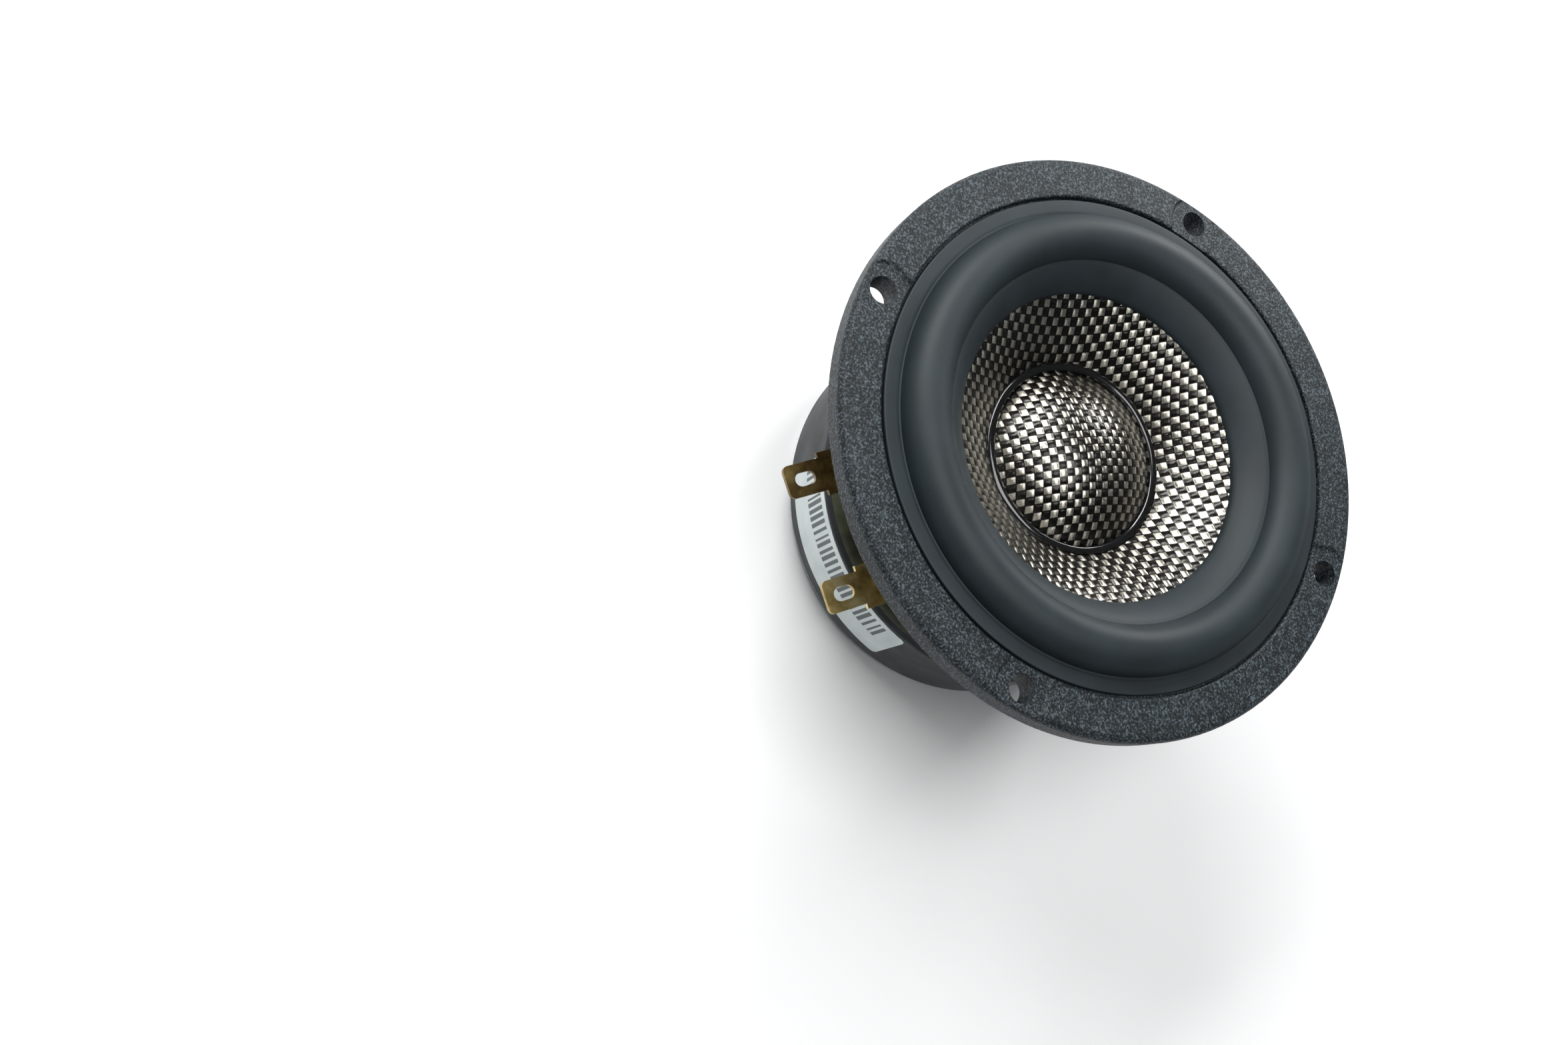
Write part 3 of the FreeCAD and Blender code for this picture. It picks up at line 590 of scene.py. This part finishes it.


# %% [markdown]
# ## Rubber surround
# The surround is one moulding of butyl rubber: a flat lip glued in the flange, a half roll that lets the
# cone travel, and an inner lip on the cloth. Its profile is two arcs, one inside the other, and a few short
# steps, so it is turned like the rest.

# %% Rubber
def satin_rubber():
    """Butyl rubber, IOR about 1.52, moulded in a polished tool and gone satin: broad soft highlights.
    Its dusty surface reflects less than a clean one, so the specular level is below the usual 0.5."""
    material, tree, shader = finish("butyl_rubber", IOR=1.52, Specular_IOR_Level=0.34)
    cloud = grain(tree, 9.0, 3.0)
    tint = add(tree, "ValToRGB", (cloud,), stops=((0.30, "#192125"), (0.70, "#20292e")))
    dust = grain(tree, 0.9, lumps=True)
    speck = add(tree, "MapRange", {"Value": dust, "From Min": 0.055, "From Max": 0.03})
    dusty = {"Factor": speck, "A": tint, "B": linear("#3a4349")}
    add(tree, "Mix", dusty, "Result", shader.inputs["Base Color"], data_type="RGBA")
    add(tree, "MapRange", {"Value": cloud, "To Min": 0.50, "To Max": 0.60}, into=shader.inputs["Roughness"])
    add(tree, "Bump", {"Height": grain(tree, 0.25, 2.0), "Distance": 0.01 * MM, "Strength": 0.35},
        into=shader.inputs["Normal"])
    return material


def blend_by_radius(made):
    """Bakes the piece's placement into its points."""
    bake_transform(made)


# %% Surround
ROLL_OUTER = 43.5
ROLL_INNER = 34.2
RUBBER = 0.9
LIP_INNER = 29.5
FLAT_LIP = 0.6


def add_surround():
    rim, crest, cone_rim = high("surround", 0), high("surround"), high("cone", 0)
    seat = height_at("surround", rim - FLAT_LIP, from_below=True)
    top = height_at("surround", rim - FLAT_LIP)
    foot = height_at("surround", ROLL_INNER)
    lip_top = height_at("surround", LIP_INNER + 0.05)
    on_cone = height_at("cone", LIP_INNER)
    edge = height_at("cone", cone_rim - 0.1)
    middle = (ROLL_OUTER + ROLL_INNER) / 2
    roll = arc((ROLL_OUTER, top - 0.05), (middle, crest), (ROLL_INNER, foot), 40)
    inner_roll = arc((ROLL_INNER + RUBBER * 0.7, foot - 0.9), (middle, crest - RUBBER),
                     (ROLL_OUTER - RUBBER, seat + 0.05), 30)
    bead = [(ROLL_OUTER + 0.9, top), (ROLL_OUTER + 0.45, top - 0.02), (ROLL_OUTER + 0.2, top - 0.14)]
    outside = rounded([(rim, seat, 0), (rim, top, 0.35), (rim - 1.5, top, 0)], 5)
    lip = [(ROLL_INNER - 0.35, foot - 0.16), (ROLL_INNER - 0.9, foot - 0.28)]
    slope = (lip[-1][1] - lip_top) / (lip[-1][0] - LIP_INNER)
    lip += [(LIP_INNER + 0.6, lip_top + slope * 0.6), (LIP_INNER + 0.2, lip_top + slope * 0.2 - 0.02),
            (LIP_INNER + 0.02, lip_top - 0.2), (LIP_INNER, on_cone + 0.02)]
    under = [(cone_rim - 0.1, edge), (cone_rim + 0.4, edge - 0.1)]
    profile = outside + bead + roll + lip + under + inner_roll
    made = facing_out(lathe("rubber_surround", profile, 400, None, 50))
    fit(made, "surround", satin_rubber(), None)
    blend_by_radius(made)


add_surround()


# %% [markdown]
# ## Spider
# The spider is cotton cloth soaked in phenolic resin and pressed into ripples, which centres the coil. It
# is mostly hidden, so cloth simulation would be wasted on it: its ripples are a sine wave, turned, with the
# threads left to the finish.

# %% Spider
def resin_cloth():
    """Coarse plain cloth in red-brown phenolic resin: matt, with the threads standing out, 0.45 mm apart."""
    material, tree, shader = finish("phenolic_resin_cloth", Roughness=0.72, Sheen_Weight=0.25)
    place = add(tree, "TexCoord", out="Object")
    split = add(tree, "SeparateXYZ", (place,)).node
    step = math.pi / (0.45 * MM)
    angle_x = add(tree, "Math", (split.outputs["X"], step), operation="MULTIPLY")
    warp = add(tree, "Math", (angle_x,), operation="SINE")
    angle_y = add(tree, "Math", (split.outputs["Y"], step), operation="MULTIPLY")
    weft = add(tree, "Math", (angle_y,), operation="SINE")
    crossing = add(tree, "Math", (warp, weft), operation="MULTIPLY")
    threads = add(tree, "MapRange", {"Value": crossing, "To Min": 0.5, "To Max": 1.0})
    soaked = add(tree, "MapRange", {"Value": grain(tree, 3.0), "To Min": 0.6, "To Max": 1.3})
    uneven = add(tree, "Math", (threads, soaked), operation="MULTIPLY")
    add(tree, "ValToRGB", (uneven,), stops=((0.2, "#2a0f0a"), (0.9, "#6b2c1e")),
        into=shader.inputs["Base Color"])
    add(tree, "Bump", {"Height": threads, "Distance": 0.08 * MM, "Strength": 1.0},
        into=shader.inputs["Normal"])
    return material


# %% Spider's shape
SPIDER_RIPPLES = 7
RIPPLE_HEIGHT = 0.95
POINTS_PER_RIPPLE = 14
SPIDER_WALL = 0.45
SPIDER_RIM = 2.6
HUB_CLEARANCE = 0.4


def add_spider():
    rim = high("spider", 0)
    flat = height_at("spider", rim - 1.0)
    hub = high("neck_glue", 0) + HUB_CLEARANCE
    rim_in = rim - SPIDER_RIM
    inner = high("voice_coil_former", 0) + 0.02
    radii = np.linspace(hub, rim_in, SPIDER_RIPPLES * POINTS_PER_RIPPLE + 1)
    phase = (rim_in - radii) / (rim_in - hub) * SPIDER_RIPPLES
    ripple = RIPPLE_HEIGHT * np.sin(math.pi * phase)
    top = [(inner, flat)] + list(zip(radii, flat + ripple)) + [(rim, flat)]
    profile = top + [(r, z - SPIDER_WALL) for r, z in reversed(top)]
    made = facing_out(lathe("spider_cloth", profile, 256, None, 50))
    fit(made, "spider", resin_cloth(), None)
    blend_by_radius(made)


add_spider()


# %% [markdown]
# ## Basket
# The basket is cast in aluminium and powder coated in a fine wrinkle finish. The coat is near black; its
# colour is painted paler on grains about 0.4 mm across, a painted highlight where the wrinkles catch light.
# The cast shape in the frame is right, so it stays and only takes the finish. The wrinkles could be
# displaced, at a cost of millions of faces, but noise in the bump does it at this size. The Bevel node
# rounds hard edges by a quarter of a millimetre, as a thick coat does.

# %% Powder coat
def wrinkle_coat():
    material, tree, shader = finish("wrinkle_powder_coat", IOR=1.5, Specular_IOR_Level=0.26)
    grains_and_glints = grain(tree, 0.38, 2.0, 0.6)
    patches = grain(tree, 7.0, 2.0)
    patches = add(tree, "MapRange", {"Value": patches, "To Min": -0.04, "To Max": 0.04})
    mixed = add(tree, "Math", (grains_and_glints, patches), operation="ADD")
    # Painted highlight: the pale end of this ramp marks the grains where the wrinkles catch light.
    colour = add(tree, "ValToRGB", (mixed,), stops=((0.38, "#0e1214"), (0.52, "#22282c"), (0.68, "#525c62")))
    tree.links.new(colour, shader.inputs["Base Color"])
    add(tree, "MapRange", {"Value": grains_and_glints, "To Min": 0.62, "To Max": 0.42}, into=shader.inputs["Roughness"])
    edge = add(tree, "Bevel", {"Radius": 0.25 * MM}, samples=4)
    add(tree, "Bump", {"Height": grains_and_glints, "Distance": 0.16 * MM, "Strength": 0.8, "Normal": edge},
        into=shader.inputs["Normal"])
    return material


def dress(node, material):
    """Gives a CAD node that stays a new finish."""
    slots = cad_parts[node].material_slots
    for one in slots:
        one.material = material
    print("%-22s %s" % (node, material.name))


dress("basket", wrinkle_coat())


# %% [markdown]
# ## Motor: plates, magnet and the adhesive between them
# The steel plates are punched, tumbled and zinc plated, so they are pale, a little blue, satin, and pitted.
# The magnet is sintered ferrite, a dark grey ceramic with clouds from the grinding coolant; its grey is
# painted darker still, a painted shade for the flange's shadow over it. Adhesive squeezes out between them
# as an olive bead above and a thin line below. The ferrite's IOR is high, but its ground face scatters most
# of the mirror image, so the specular level is low.

# %% Motor finishes
def zinc_plate():
    material, tree, shader = finish("clear_zinc_plate", Metallic=0.85)
    cloud = grain(tree, 6.0, 4.0)
    add(tree, "ValToRGB", (cloud,), stops=((0.3, "#a7b2b6"), (0.7, "#ccd5d8")),
        into=shader.inputs["Base Color"])
    pits = add(tree, "MapRange", {"Value": grain(tree, 0.8, lumps=True), "From Min": 0.0, "From Max": 0.25})
    add(tree, "MapRange", {"Value": cloud, "To Min": 0.30, "To Max": 0.46}, into=shader.inputs["Roughness"])
    relief = add(tree, "Math", (pits, grain(tree, 0.5, 3.0)), operation="ADD")
    bumps = {"Height": relief, "Distance": 0.03 * MM, "Strength": 0.7}
    add(tree, "Bump", bumps, into=shader.inputs["Normal"])
    return material


def sintered_ferrite():
    material, tree, shader = finish("sintered_ferrite", IOR=1.9, Specular_IOR_Level=0.18)
    cloud = grain(tree, 11.0, 5.0, 0.6, (1, 1, 1.6))
    fine = grain(tree, 0.6, 3.0)
    # Painted shade: these greys are darker than the ferrite's own, for the shadow that the flange casts on
    # it.
    add(tree, "ValToRGB", (cloud,), stops=((0.32, "#14181a"), (0.5, "#1e2224"), (0.7, "#2b3133")),
        into=shader.inputs["Base Color"])
    add(tree, "MapRange", {"Value": cloud, "To Min": 0.62, "To Max": 0.42}, into=shader.inputs["Roughness"])
    pits = add(tree, "MapRange", {"Value": grain(tree, 1.6, lumps=True), "From Min": 0.0, "From Max": 0.12})
    relief = add(tree, "Math", (fine, pits), operation="ADD")
    bumps = {"Height": relief, "Distance": 0.035 * MM, "Strength": 0.8}
    add(tree, "Bump", bumps, into=shader.inputs["Normal"])
    return material


def amber_adhesive(name, dark, pale):
    material, tree, shader = finish(name, IOR=1.5)
    cloud = grain(tree, 3.0, 4.0)
    add(tree, "ValToRGB", (cloud,), stops=((0.3, dark), (0.7, pale)), into=shader.inputs["Base Color"])
    add(tree, "MapRange", {"Value": cloud, "To Min": 0.28, "To Max": 0.50}, into=shader.inputs["Roughness"])
    add(tree, "Bump", {"Height": grain(tree, 0.9), "Distance": 0.08 * MM, "Strength": 0.6},
        into=shader.inputs["Normal"])
    return material


zinc, ferrite = zinc_plate(), sintered_ferrite()
olive_adhesive = amber_adhesive("olive_epoxy", "#1e1f13", "#3d3f28")
print("motor finishes", zinc.name, ferrite.name, olive_adhesive.name)


# %% [markdown]
# ## Magnet, back plate and beads
# The back plate and the magnet are turned shapes with broken edges. Ferrite is brittle and its edges chip
# in handling, which a Boolean with small rocks could cut. A few dozen dips in the radius of the edge's own
# points are cheaper and leave a clean mesh. The adhesive's outer edge wanders with a sum of sine waves, as
# a bead laid by hand does.

# %% Turned motor pieces
CHIP_COUNT = 40
CHIP_DEPTH = 0.35
MAGNET_BORE = 17.0
MAGNET_CHAMFER = 1.0
BEAD_RIPPLE = 0.10
BEAD_UNDER_PLATE = 0.1
BEAD_BULGE = 0.62


def chips(depth):
    """Small random bites out of the two outer edges, the same each run."""
    draw = np.random.default_rng(7)
    centres = draw.uniform(0, 2 * math.pi, CHIP_COUNT)
    sizes = draw.uniform(0.006, 0.02, CHIP_COUNT)
    depths = draw.uniform(0.1, 1.0, CHIP_COUNT) * depth

    def wave(angles, n):
        bite = 0 * angles
        for k, (centre, size, deep) in enumerate(zip(centres, sizes, depths)):
            if k % 2 == n % 2:
                gap = (angles - centre + math.pi) % (2 * math.pi) - math.pi
                bite += deep * np.exp(-(gap / size) ** 2)
        return -bite
    return wave


def add_magnet():
    r, bottom, top = high("ferrite_magnet", 0), low("ferrite_magnet"), high("ferrite_magnet")
    bore, chamfer = MAGNET_BORE, MAGNET_CHAMFER
    profile = rounded([(bore, bottom, 0), (r - chamfer, bottom, 0), (r, bottom + chamfer, 0.4),
                       (r, top - chamfer, 0.4), (r - chamfer, top, 0), (bore, top, 0)], 3)
    edges = chips(CHIP_DEPTH)

    def wave(angles, n):
        on_edge = profile[n][0] > bore + 1 and (profile[n][1] < bottom + 0.7 or profile[n][1] > top - 0.7)
        return edges(angles, n) if on_edge else 0 * angles

    made = facing_out(lathe("ferrite_ring", profile, 720, wave, 35))
    fit(made, "ferrite_magnet", ferrite, "frame")


def add_back_plate():
    r, bottom, top = high("back_plate", 0), low("back_plate"), high("back_plate")
    profile = [(ON_AXIS, bottom)] + rounded([(r, bottom, 0.7), (r, top, 0.5)], 5) + [(ON_AXIS, top)]
    made = facing_out(lathe("zinc_back_plate", profile, 360, None, 35))
    fit(made, "back_plate", zinc, "frame")


def add_beads():
    """Squeezed-out adhesive: its outer edge wanders, as a hand-laid bead does."""
    draw = np.random.default_rng(11)
    phases = draw.uniform(0, 2 * math.pi, 6)

    def wave(angles, n):
        ripple = sum(np.sin(k * angles + p) / (k ** 0.5) for k, p in zip((3, 7, 12, 19, 31, 53), phases))
        return BEAD_RIPPLE * ripple * math.sin(math.pi * min(n, 10) / 10)

    for side, plate in (("upper", "top_plate"), ("lower", "back_plate")):
        node = side + "_glue_bead"
        ends = (low(node), high(node))
        wide_end, thin_end = ends if side == "upper" else ends[::-1]
        inner, out = high(plate, 0) - BEAD_UNDER_PLATE, high(node, 0)
        bulge = (inner + BEAD_BULGE * (out - inner), wide_end + 0.5 * (thin_end - wide_end))
        curve = arc((out - 0.12, wide_end), bulge, (inner, thin_end), 9)
        made = facing_out(lathe(side + "_adhesive_bead", [(inner, wide_end)] + curve, 360, wave, 60))
        fit(made, node, olive_adhesive, "frame")


add_magnet()
add_back_plate()
add_beads()
dress("top_plate", zinc)
dress("pole_piece", zinc)


# %% [markdown]
# ## Label on the magnet
# A strip of matt film with printed bars, wrapped a sixth of the way round the magnet. The bars here are
# plain, of random widths that spell nothing, and the strip carries no figures or words. Its corners are
# rounded and it stands 0.15 mm proud. A decal projected on the magnet would have no edge, so the strip is a
# thin solid, and the bars follow the angle round the axis, which bends them with the film.

# %% Label
BAR_PITCH_DEGREES = 2.0
BARS_FROM_DEGREES = 67.0
BARS_TO_DEGREES = 120.0
LABEL_CORNER = 1.2
BARS_ABOVE_FOOT = 6.5
BARS_BELOW_TOP = 1.6


def label_film():
    """Polyester film with a matt topcoat, printed in dark grey; the ink is a little glossier."""
    material, tree, shader = finish("matt_label_film", IOR=1.5)
    place = add(tree, "TexCoord", out="Object")
    split = add(tree, "SeparateXYZ", (place,)).node
    angle = add(tree, "Math", (split.outputs["Y"], split.outputs["X"]), operation="ARCTAN2")
    turns = add(tree, "Math", (angle, math.radians(BAR_PITCH_DEGREES)), operation="DIVIDE")
    share = add(tree, "Math", (turns,), operation="FRACT")
    number = add(tree, "Math", (turns,), operation="FLOOR")
    uneven = add(tree, "TexWhiteNoise", {"W": number}, "Value", noise_dimensions="1D")
    start = add(tree, "MapRange", {"Value": uneven, "To Min": 0.30, "To Max": 0.72})
    bar = add(tree, "Math", (share, start), operation="GREATER_THAN")
    lowest, highest = low("magnet_label") + BARS_ABOVE_FOOT, high("magnet_label") - BARS_BELOW_TOP
    for low_end, high_end, value in ((math.radians(BARS_FROM_DEGREES), math.radians(BARS_TO_DEGREES), angle),
                                     (lowest * MM, highest * MM, split.outputs["Z"])):
        past_start = add(tree, "Math", (value, low_end), operation="GREATER_THAN")
        before_end = add(tree, "Math", (value, high_end), operation="LESS_THAN")
        bar = add(tree, "Math", (bar, past_start), operation="MULTIPLY")
        bar = add(tree, "Math", (bar, before_end), operation="MULTIPLY")
    film = add(tree, "ValToRGB", (grain(tree, 5.0, 4.0),), stops=((0.3, "#c3cccd"), (0.7, "#d6dcdb")))
    printed = {"Factor": bar, "A": film, "B": linear("#4b5254")}
    add(tree, "Mix", printed, "Result", shader.inputs["Base Color"], data_type="RGBA")
    add(tree, "MapRange", {"Value": bar, "To Min": 0.55, "To Max": 0.38}, into=shader.inputs["Roughness"])
    add(tree, "Bump", {"Height": grain(tree, 1.2), "Distance": 0.02 * MM, "Strength": 0.4},
        into=shader.inputs["Normal"])
    return material


# %% Label strip
LABEL_COLUMNS = 160
LABEL_ROWS = 24


def label_points(outer, inner):
    """Rows of points up each column of the strip, on its outer skin and then on its inner one."""
    lo, hi = low("magnet_label"), high("magnet_label")
    last = math.acos(low("magnet_label", 0) / outer)
    first = math.acos(high("magnet_label", 0) / outer)
    points = []
    for radius in (outer, inner):
        for i in range(LABEL_COLUMNS + 1):
            angle = first + (last - first) * i / LABEL_COLUMNS
            trim = LABEL_CORNER - min(angle - first, last - angle) * outer
            cut = LABEL_CORNER - math.sqrt(max(LABEL_CORNER ** 2 - max(trim, 0) ** 2, 0))
            for j in range(LABEL_ROWS + 1):
                z = lo + cut + (hi - lo - 2 * cut) * j / LABEL_ROWS
                points.append((radius * math.cos(angle), radius * math.sin(angle), z))
    return np.array(points)


def label_faces():
    """Two skins of quads and the rim between them."""
    columns, rows = LABEL_COLUMNS, LABEL_ROWS
    skin = (columns + 1) * (rows + 1)
    faces = []
    for i in range(columns):
        for j in range(rows):
            a = i * (rows + 1) + j
            b = a + rows + 1
            faces.append((a, b, b + 1, a + 1))
            faces.append((skin + a, skin + a + 1, skin + b + 1, skin + b))
    border = [i * (rows + 1) for i in range(columns + 1)]
    border += [columns * (rows + 1) + j for j in range(1, rows + 1)]
    border += [i * (rows + 1) + rows for i in range(columns - 1, -1, -1)]
    border += list(range(rows - 1, 0, -1))
    for a, b in zip(border, border[1:] + border[:1]):
        faces.append((a, a + skin, b + skin, b))
    return np.array(faces)


def add_label():
    points = label_points(high("magnet_label", 1), high("ferrite_magnet", 0) + 0.005)
    made = facing_out(mesh_object("magnet_label_strip", points * MM, label_faces()))
    fit(made, "magnet_label", label_film(), "frame")


add_label()


# %% [markdown]
# ## Terminals, rivets, board and the inner pieces
# The tabs are stamped from one brass strip. They take two copies of one brass finish, one painted brighter
# and
# one browner: painted light on the tab that faces the light and painted shade on the tab that lies in shade.
# The board is a dark phenolic sheet. Inside sit the coil of enamelled copper wire on a film former, the
# steel pole and four black screws. They could be rebuilt as finer meshes, but their CAD shapes are right at
# this size, so each keeps its shape and takes the finish of what it is.

# %% Small finishes
def aged_brass(name, dark, middle, pale):
    """Brass strip: bright where rubbed, brown where the air has worked on it, with fine rolling marks."""
    material, tree, shader = finish(name, Metallic=0.75)
    patina = grain(tree, 4.0, 5.0, 0.6)
    tint = add(tree, "ValToRGB", (patina,), stops=((0.34, dark), (0.52, middle), (0.70, pale)))
    tree.links.new(tint, shader.inputs["Base Color"])
    lines = grain(tree, 0.12, 2.0, 0.5, (1, 0.05, 1))
    polish = add(tree, "Math", (lines, patina), operation="MULTIPLY")
    add(tree, "MapRange", {"Value": polish, "To Min": 0.42, "To Max": 0.18}, into=shader.inputs["Roughness"])
    edge = add(tree, "Bevel", {"Radius": 0.12 * MM}, samples=4)
    relief = {"Height": add(tree, "Math", (lines, patina), operation="ADD"), "Distance": 0.02 * MM}
    add(tree, "Bump", {**relief, "Strength": 0.5, "Normal": edge}, into=shader.inputs["Normal"])
    return material


def plain_finish(name, dark, pale, size_mm, rough, **sockets):
    """A finish with clouds of two near colours and a fine grain, for small pieces."""
    material, tree, shader = finish(name, **sockets)
    cloud = grain(tree, size_mm, 3.0)
    add(tree, "ValToRGB", (cloud,), stops=((0.3, dark), (0.7, pale)), into=shader.inputs["Base Color"])
    add(tree, "MapRange", {"Value": cloud, "To Min": rough - 0.06, "To Max": rough + 0.06},
        into=shader.inputs["Roughness"])
    add(tree, "Bump", {"Height": grain(tree, 0.3, 2.0), "Distance": 0.02 * MM, "Strength": 0.5},
        into=shader.inputs["Normal"])
    return material


def wound_copper():
    """Enamelled copper wire 0.2 mm thick: the turns stand out as fine ridges."""
    material, tree, shader = finish("enamelled_copper_wire", Metallic=1.0, Roughness=0.28)
    split = add(tree, "SeparateXYZ", (add(tree, "TexCoord", out="Object"),)).node
    angle = add(tree, "Math", (split.outputs["Z"], 2 * math.pi / (0.2 * MM)), operation="MULTIPLY")
    turns = add(tree, "Math", (angle,), operation="SINE")
    shade = add(tree, "MapRange", {"Value": turns, "To Min": 0.2, "To Max": 0.8})
    add(tree, "ValToRGB", (shade,),
        into=shader.inputs["Base Color"], stops=((0.2, "#7d3417"), (0.9, "#c8703c")))
    add(tree, "Bump", {"Height": turns, "Distance": 0.05 * MM, "Strength": 1.0},
        into=shader.inputs["Normal"])
    return material


# Painted light and painted shade: one brass, painted brighter on the tab facing the light and browner on the
# tab in shade.
dress("terminal_positive", aged_brass("lit_brass_strip", "#8f7c48", "#c3ad72", "#e6d9a8"))
dress("terminal_negative", aged_brass("shaded_brass_strip", "#4a3a1e", "#6e5a33", "#93804f"))
dress("terminal_rivets", plain_finish("bright_rivet_brass", "#a8935a", "#cbb67c", 1.0, 0.30, Metallic=1.0))
black_steel = plain_finish("black_oxide_steel", "#16181a", "#26292c", 1.0, 0.38, Metallic=0.6)
dress("board_rivet", black_steel)
dress("plate_screws", black_steel)
dress("terminal_board", plain_finish("phenolic_board", "#0c0c0c", "#1a1816", 2.0, 0.55))
dress("voice_coil_former", plain_finish("polyimide_film", "#7a4318", "#9a5a22", 3.0, 0.30, IOR=1.7))
dress("voice_coil_winding", wound_copper())
dress("neck_glue", adhesive)
dress("lead_anchors", adhesive)
solder = plain_finish("tin_solder", "#a9adae", "#cfd2d1", 0.8, 0.26, Metallic=1.0)
dress("lead_solder", solder)


# %% [markdown]
# ## Tinsel leads
# Each lead is a limp braid of tinsel thread that carries the signal over the spider, from the lug to the
# former. It is held at both ends. Its line is a NURBS spline along the frame's own route. A plain bevelled
# curve would look like wire, so the braid is geometry: two sets of strands that cross at a slant.

# %% Line of a lead
LEAD_ROUTE = [(11.0, 40.0, 52.34), (11.6, 34.5, 52.94), (15.0, 27.5, 50.74), (19.2, 20.0, 47.9),
              (20.4, 12.0, 46.3), (18.6, 6.4, 45.0), (15.2, 3.6, 44.3)]


def lead_line(side):
    """Points along the smooth line of one lead, in mm."""
    curve = bpy.data.curves.new("route", "CURVE")
    curve.dimensions = "3D"
    curve.resolution_u = 24
    spline = curve.splines.new("NURBS")
    spline.points.add(len(LEAD_ROUTE) - 1)
    for point, (x, y, z) in zip(spline.points, LEAD_ROUTE):
        point.co = (x * side, y, z, 1)
    spline.order_u = 3
    spline.use_endpoint_u = True
    holder = bpy.data.objects.new("route", curve)
    line = bpy.data.meshes.new_from_object(holder)
    points = np.array([v.co for v in line.vertices])
    bpy.data.objects.remove(holder)
    bpy.data.curves.remove(curve)
    bpy.data.meshes.remove(line)
    return points


def evenly(points, step):
    """The same line with points a step apart, and its length."""
    gaps = np.linalg.norm(np.diff(points, axis=0), axis=1)
    run = np.concatenate([[0], np.cumsum(gaps)])
    places = np.linspace(0, run[-1], int(run[-1] / step) + 1)
    return np.stack([np.interp(places, run, points[:, k]) for k in range(3)], 1), run[-1]


# %% Braid
LEAD_RADIUS = 0.55
LEAD_STEP = 0.14
LEAD_SIDES = 48
BRAID_STRANDS = 8
BRAID_PITCH = 3.2
BRAID_RELIEF = 0.14


def braid_rings(line, length):
    """A ring of points round each point of the line, with the strands' relief."""
    ahead = np.gradient(line, axis=0)
    ahead /= np.linalg.norm(ahead, axis=1)[:, None]
    sideways = np.cross(ahead, (0, 0, 1))
    sideways /= np.linalg.norm(sideways, axis=1)[:, None]
    upward = np.cross(sideways, ahead)
    around = np.linspace(0, 2 * math.pi, LEAD_SIDES, endpoint=False)
    run = np.linspace(0, length, len(line))[:, None]
    slant = 2 * math.pi * run / BRAID_PITCH
    one_way = np.sin(BRAID_STRANDS / 2 * around[None, :] + slant)
    other_way = np.sin(BRAID_STRANDS / 2 * around[None, :] - slant)
    strands = np.maximum(np.abs(one_way), np.abs(other_way))
    radius = LEAD_RADIUS * (1 - BRAID_RELIEF + BRAID_RELIEF * strands)
    return line[:, None, :] + radius[..., None] * (np.cos(around)[None, :, None] * sideways[:, None, :]
                                                  + np.sin(around)[None, :, None] * upward[:, None, :])


def tube_faces(count, per):
    """Quads between rings of per points, and a fan of triangles at each end."""
    faces = []
    for k in range(per):
        after = (k + 1) % per
        for i in range(count - 1):
            faces.append((i * per + k, (i + 1) * per + k, (i + 1) * per + after, i * per + after))
        faces.append((k, after, count * per))
        faces.append(((count - 1) * per + after, (count - 1) * per + k, count * per + 1))
    return faces


def add_lead(name, node, side):
    line, length = evenly(lead_line(side), LEAD_STEP)
    points = np.concatenate([braid_rings(line, length).reshape(-1, 3), line[:1], line[-1:]])
    mesh = bpy.data.meshes.new(name)
    mesh.from_pydata((points * MM).tolist(), [], tube_faces(len(line), LEAD_SIDES))
    mesh.shade_smooth()
    made = bpy.data.objects.new(name, mesh)
    bpy.context.scene.collection.objects.link(made)
    fit(facing_out(made), node, tinsel, None)
    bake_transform(made)
    print("   %s is %.1f mm long" % (name, length))


tinsel = plain_finish("silver_tinsel_braid", "#b9bab4", "#e6e6e0", 0.5, 0.40, Metallic=0.5)
add_lead("positive_lead", "lead_positive", -1)
add_lead("negative_lead", "lead_negative", 1)
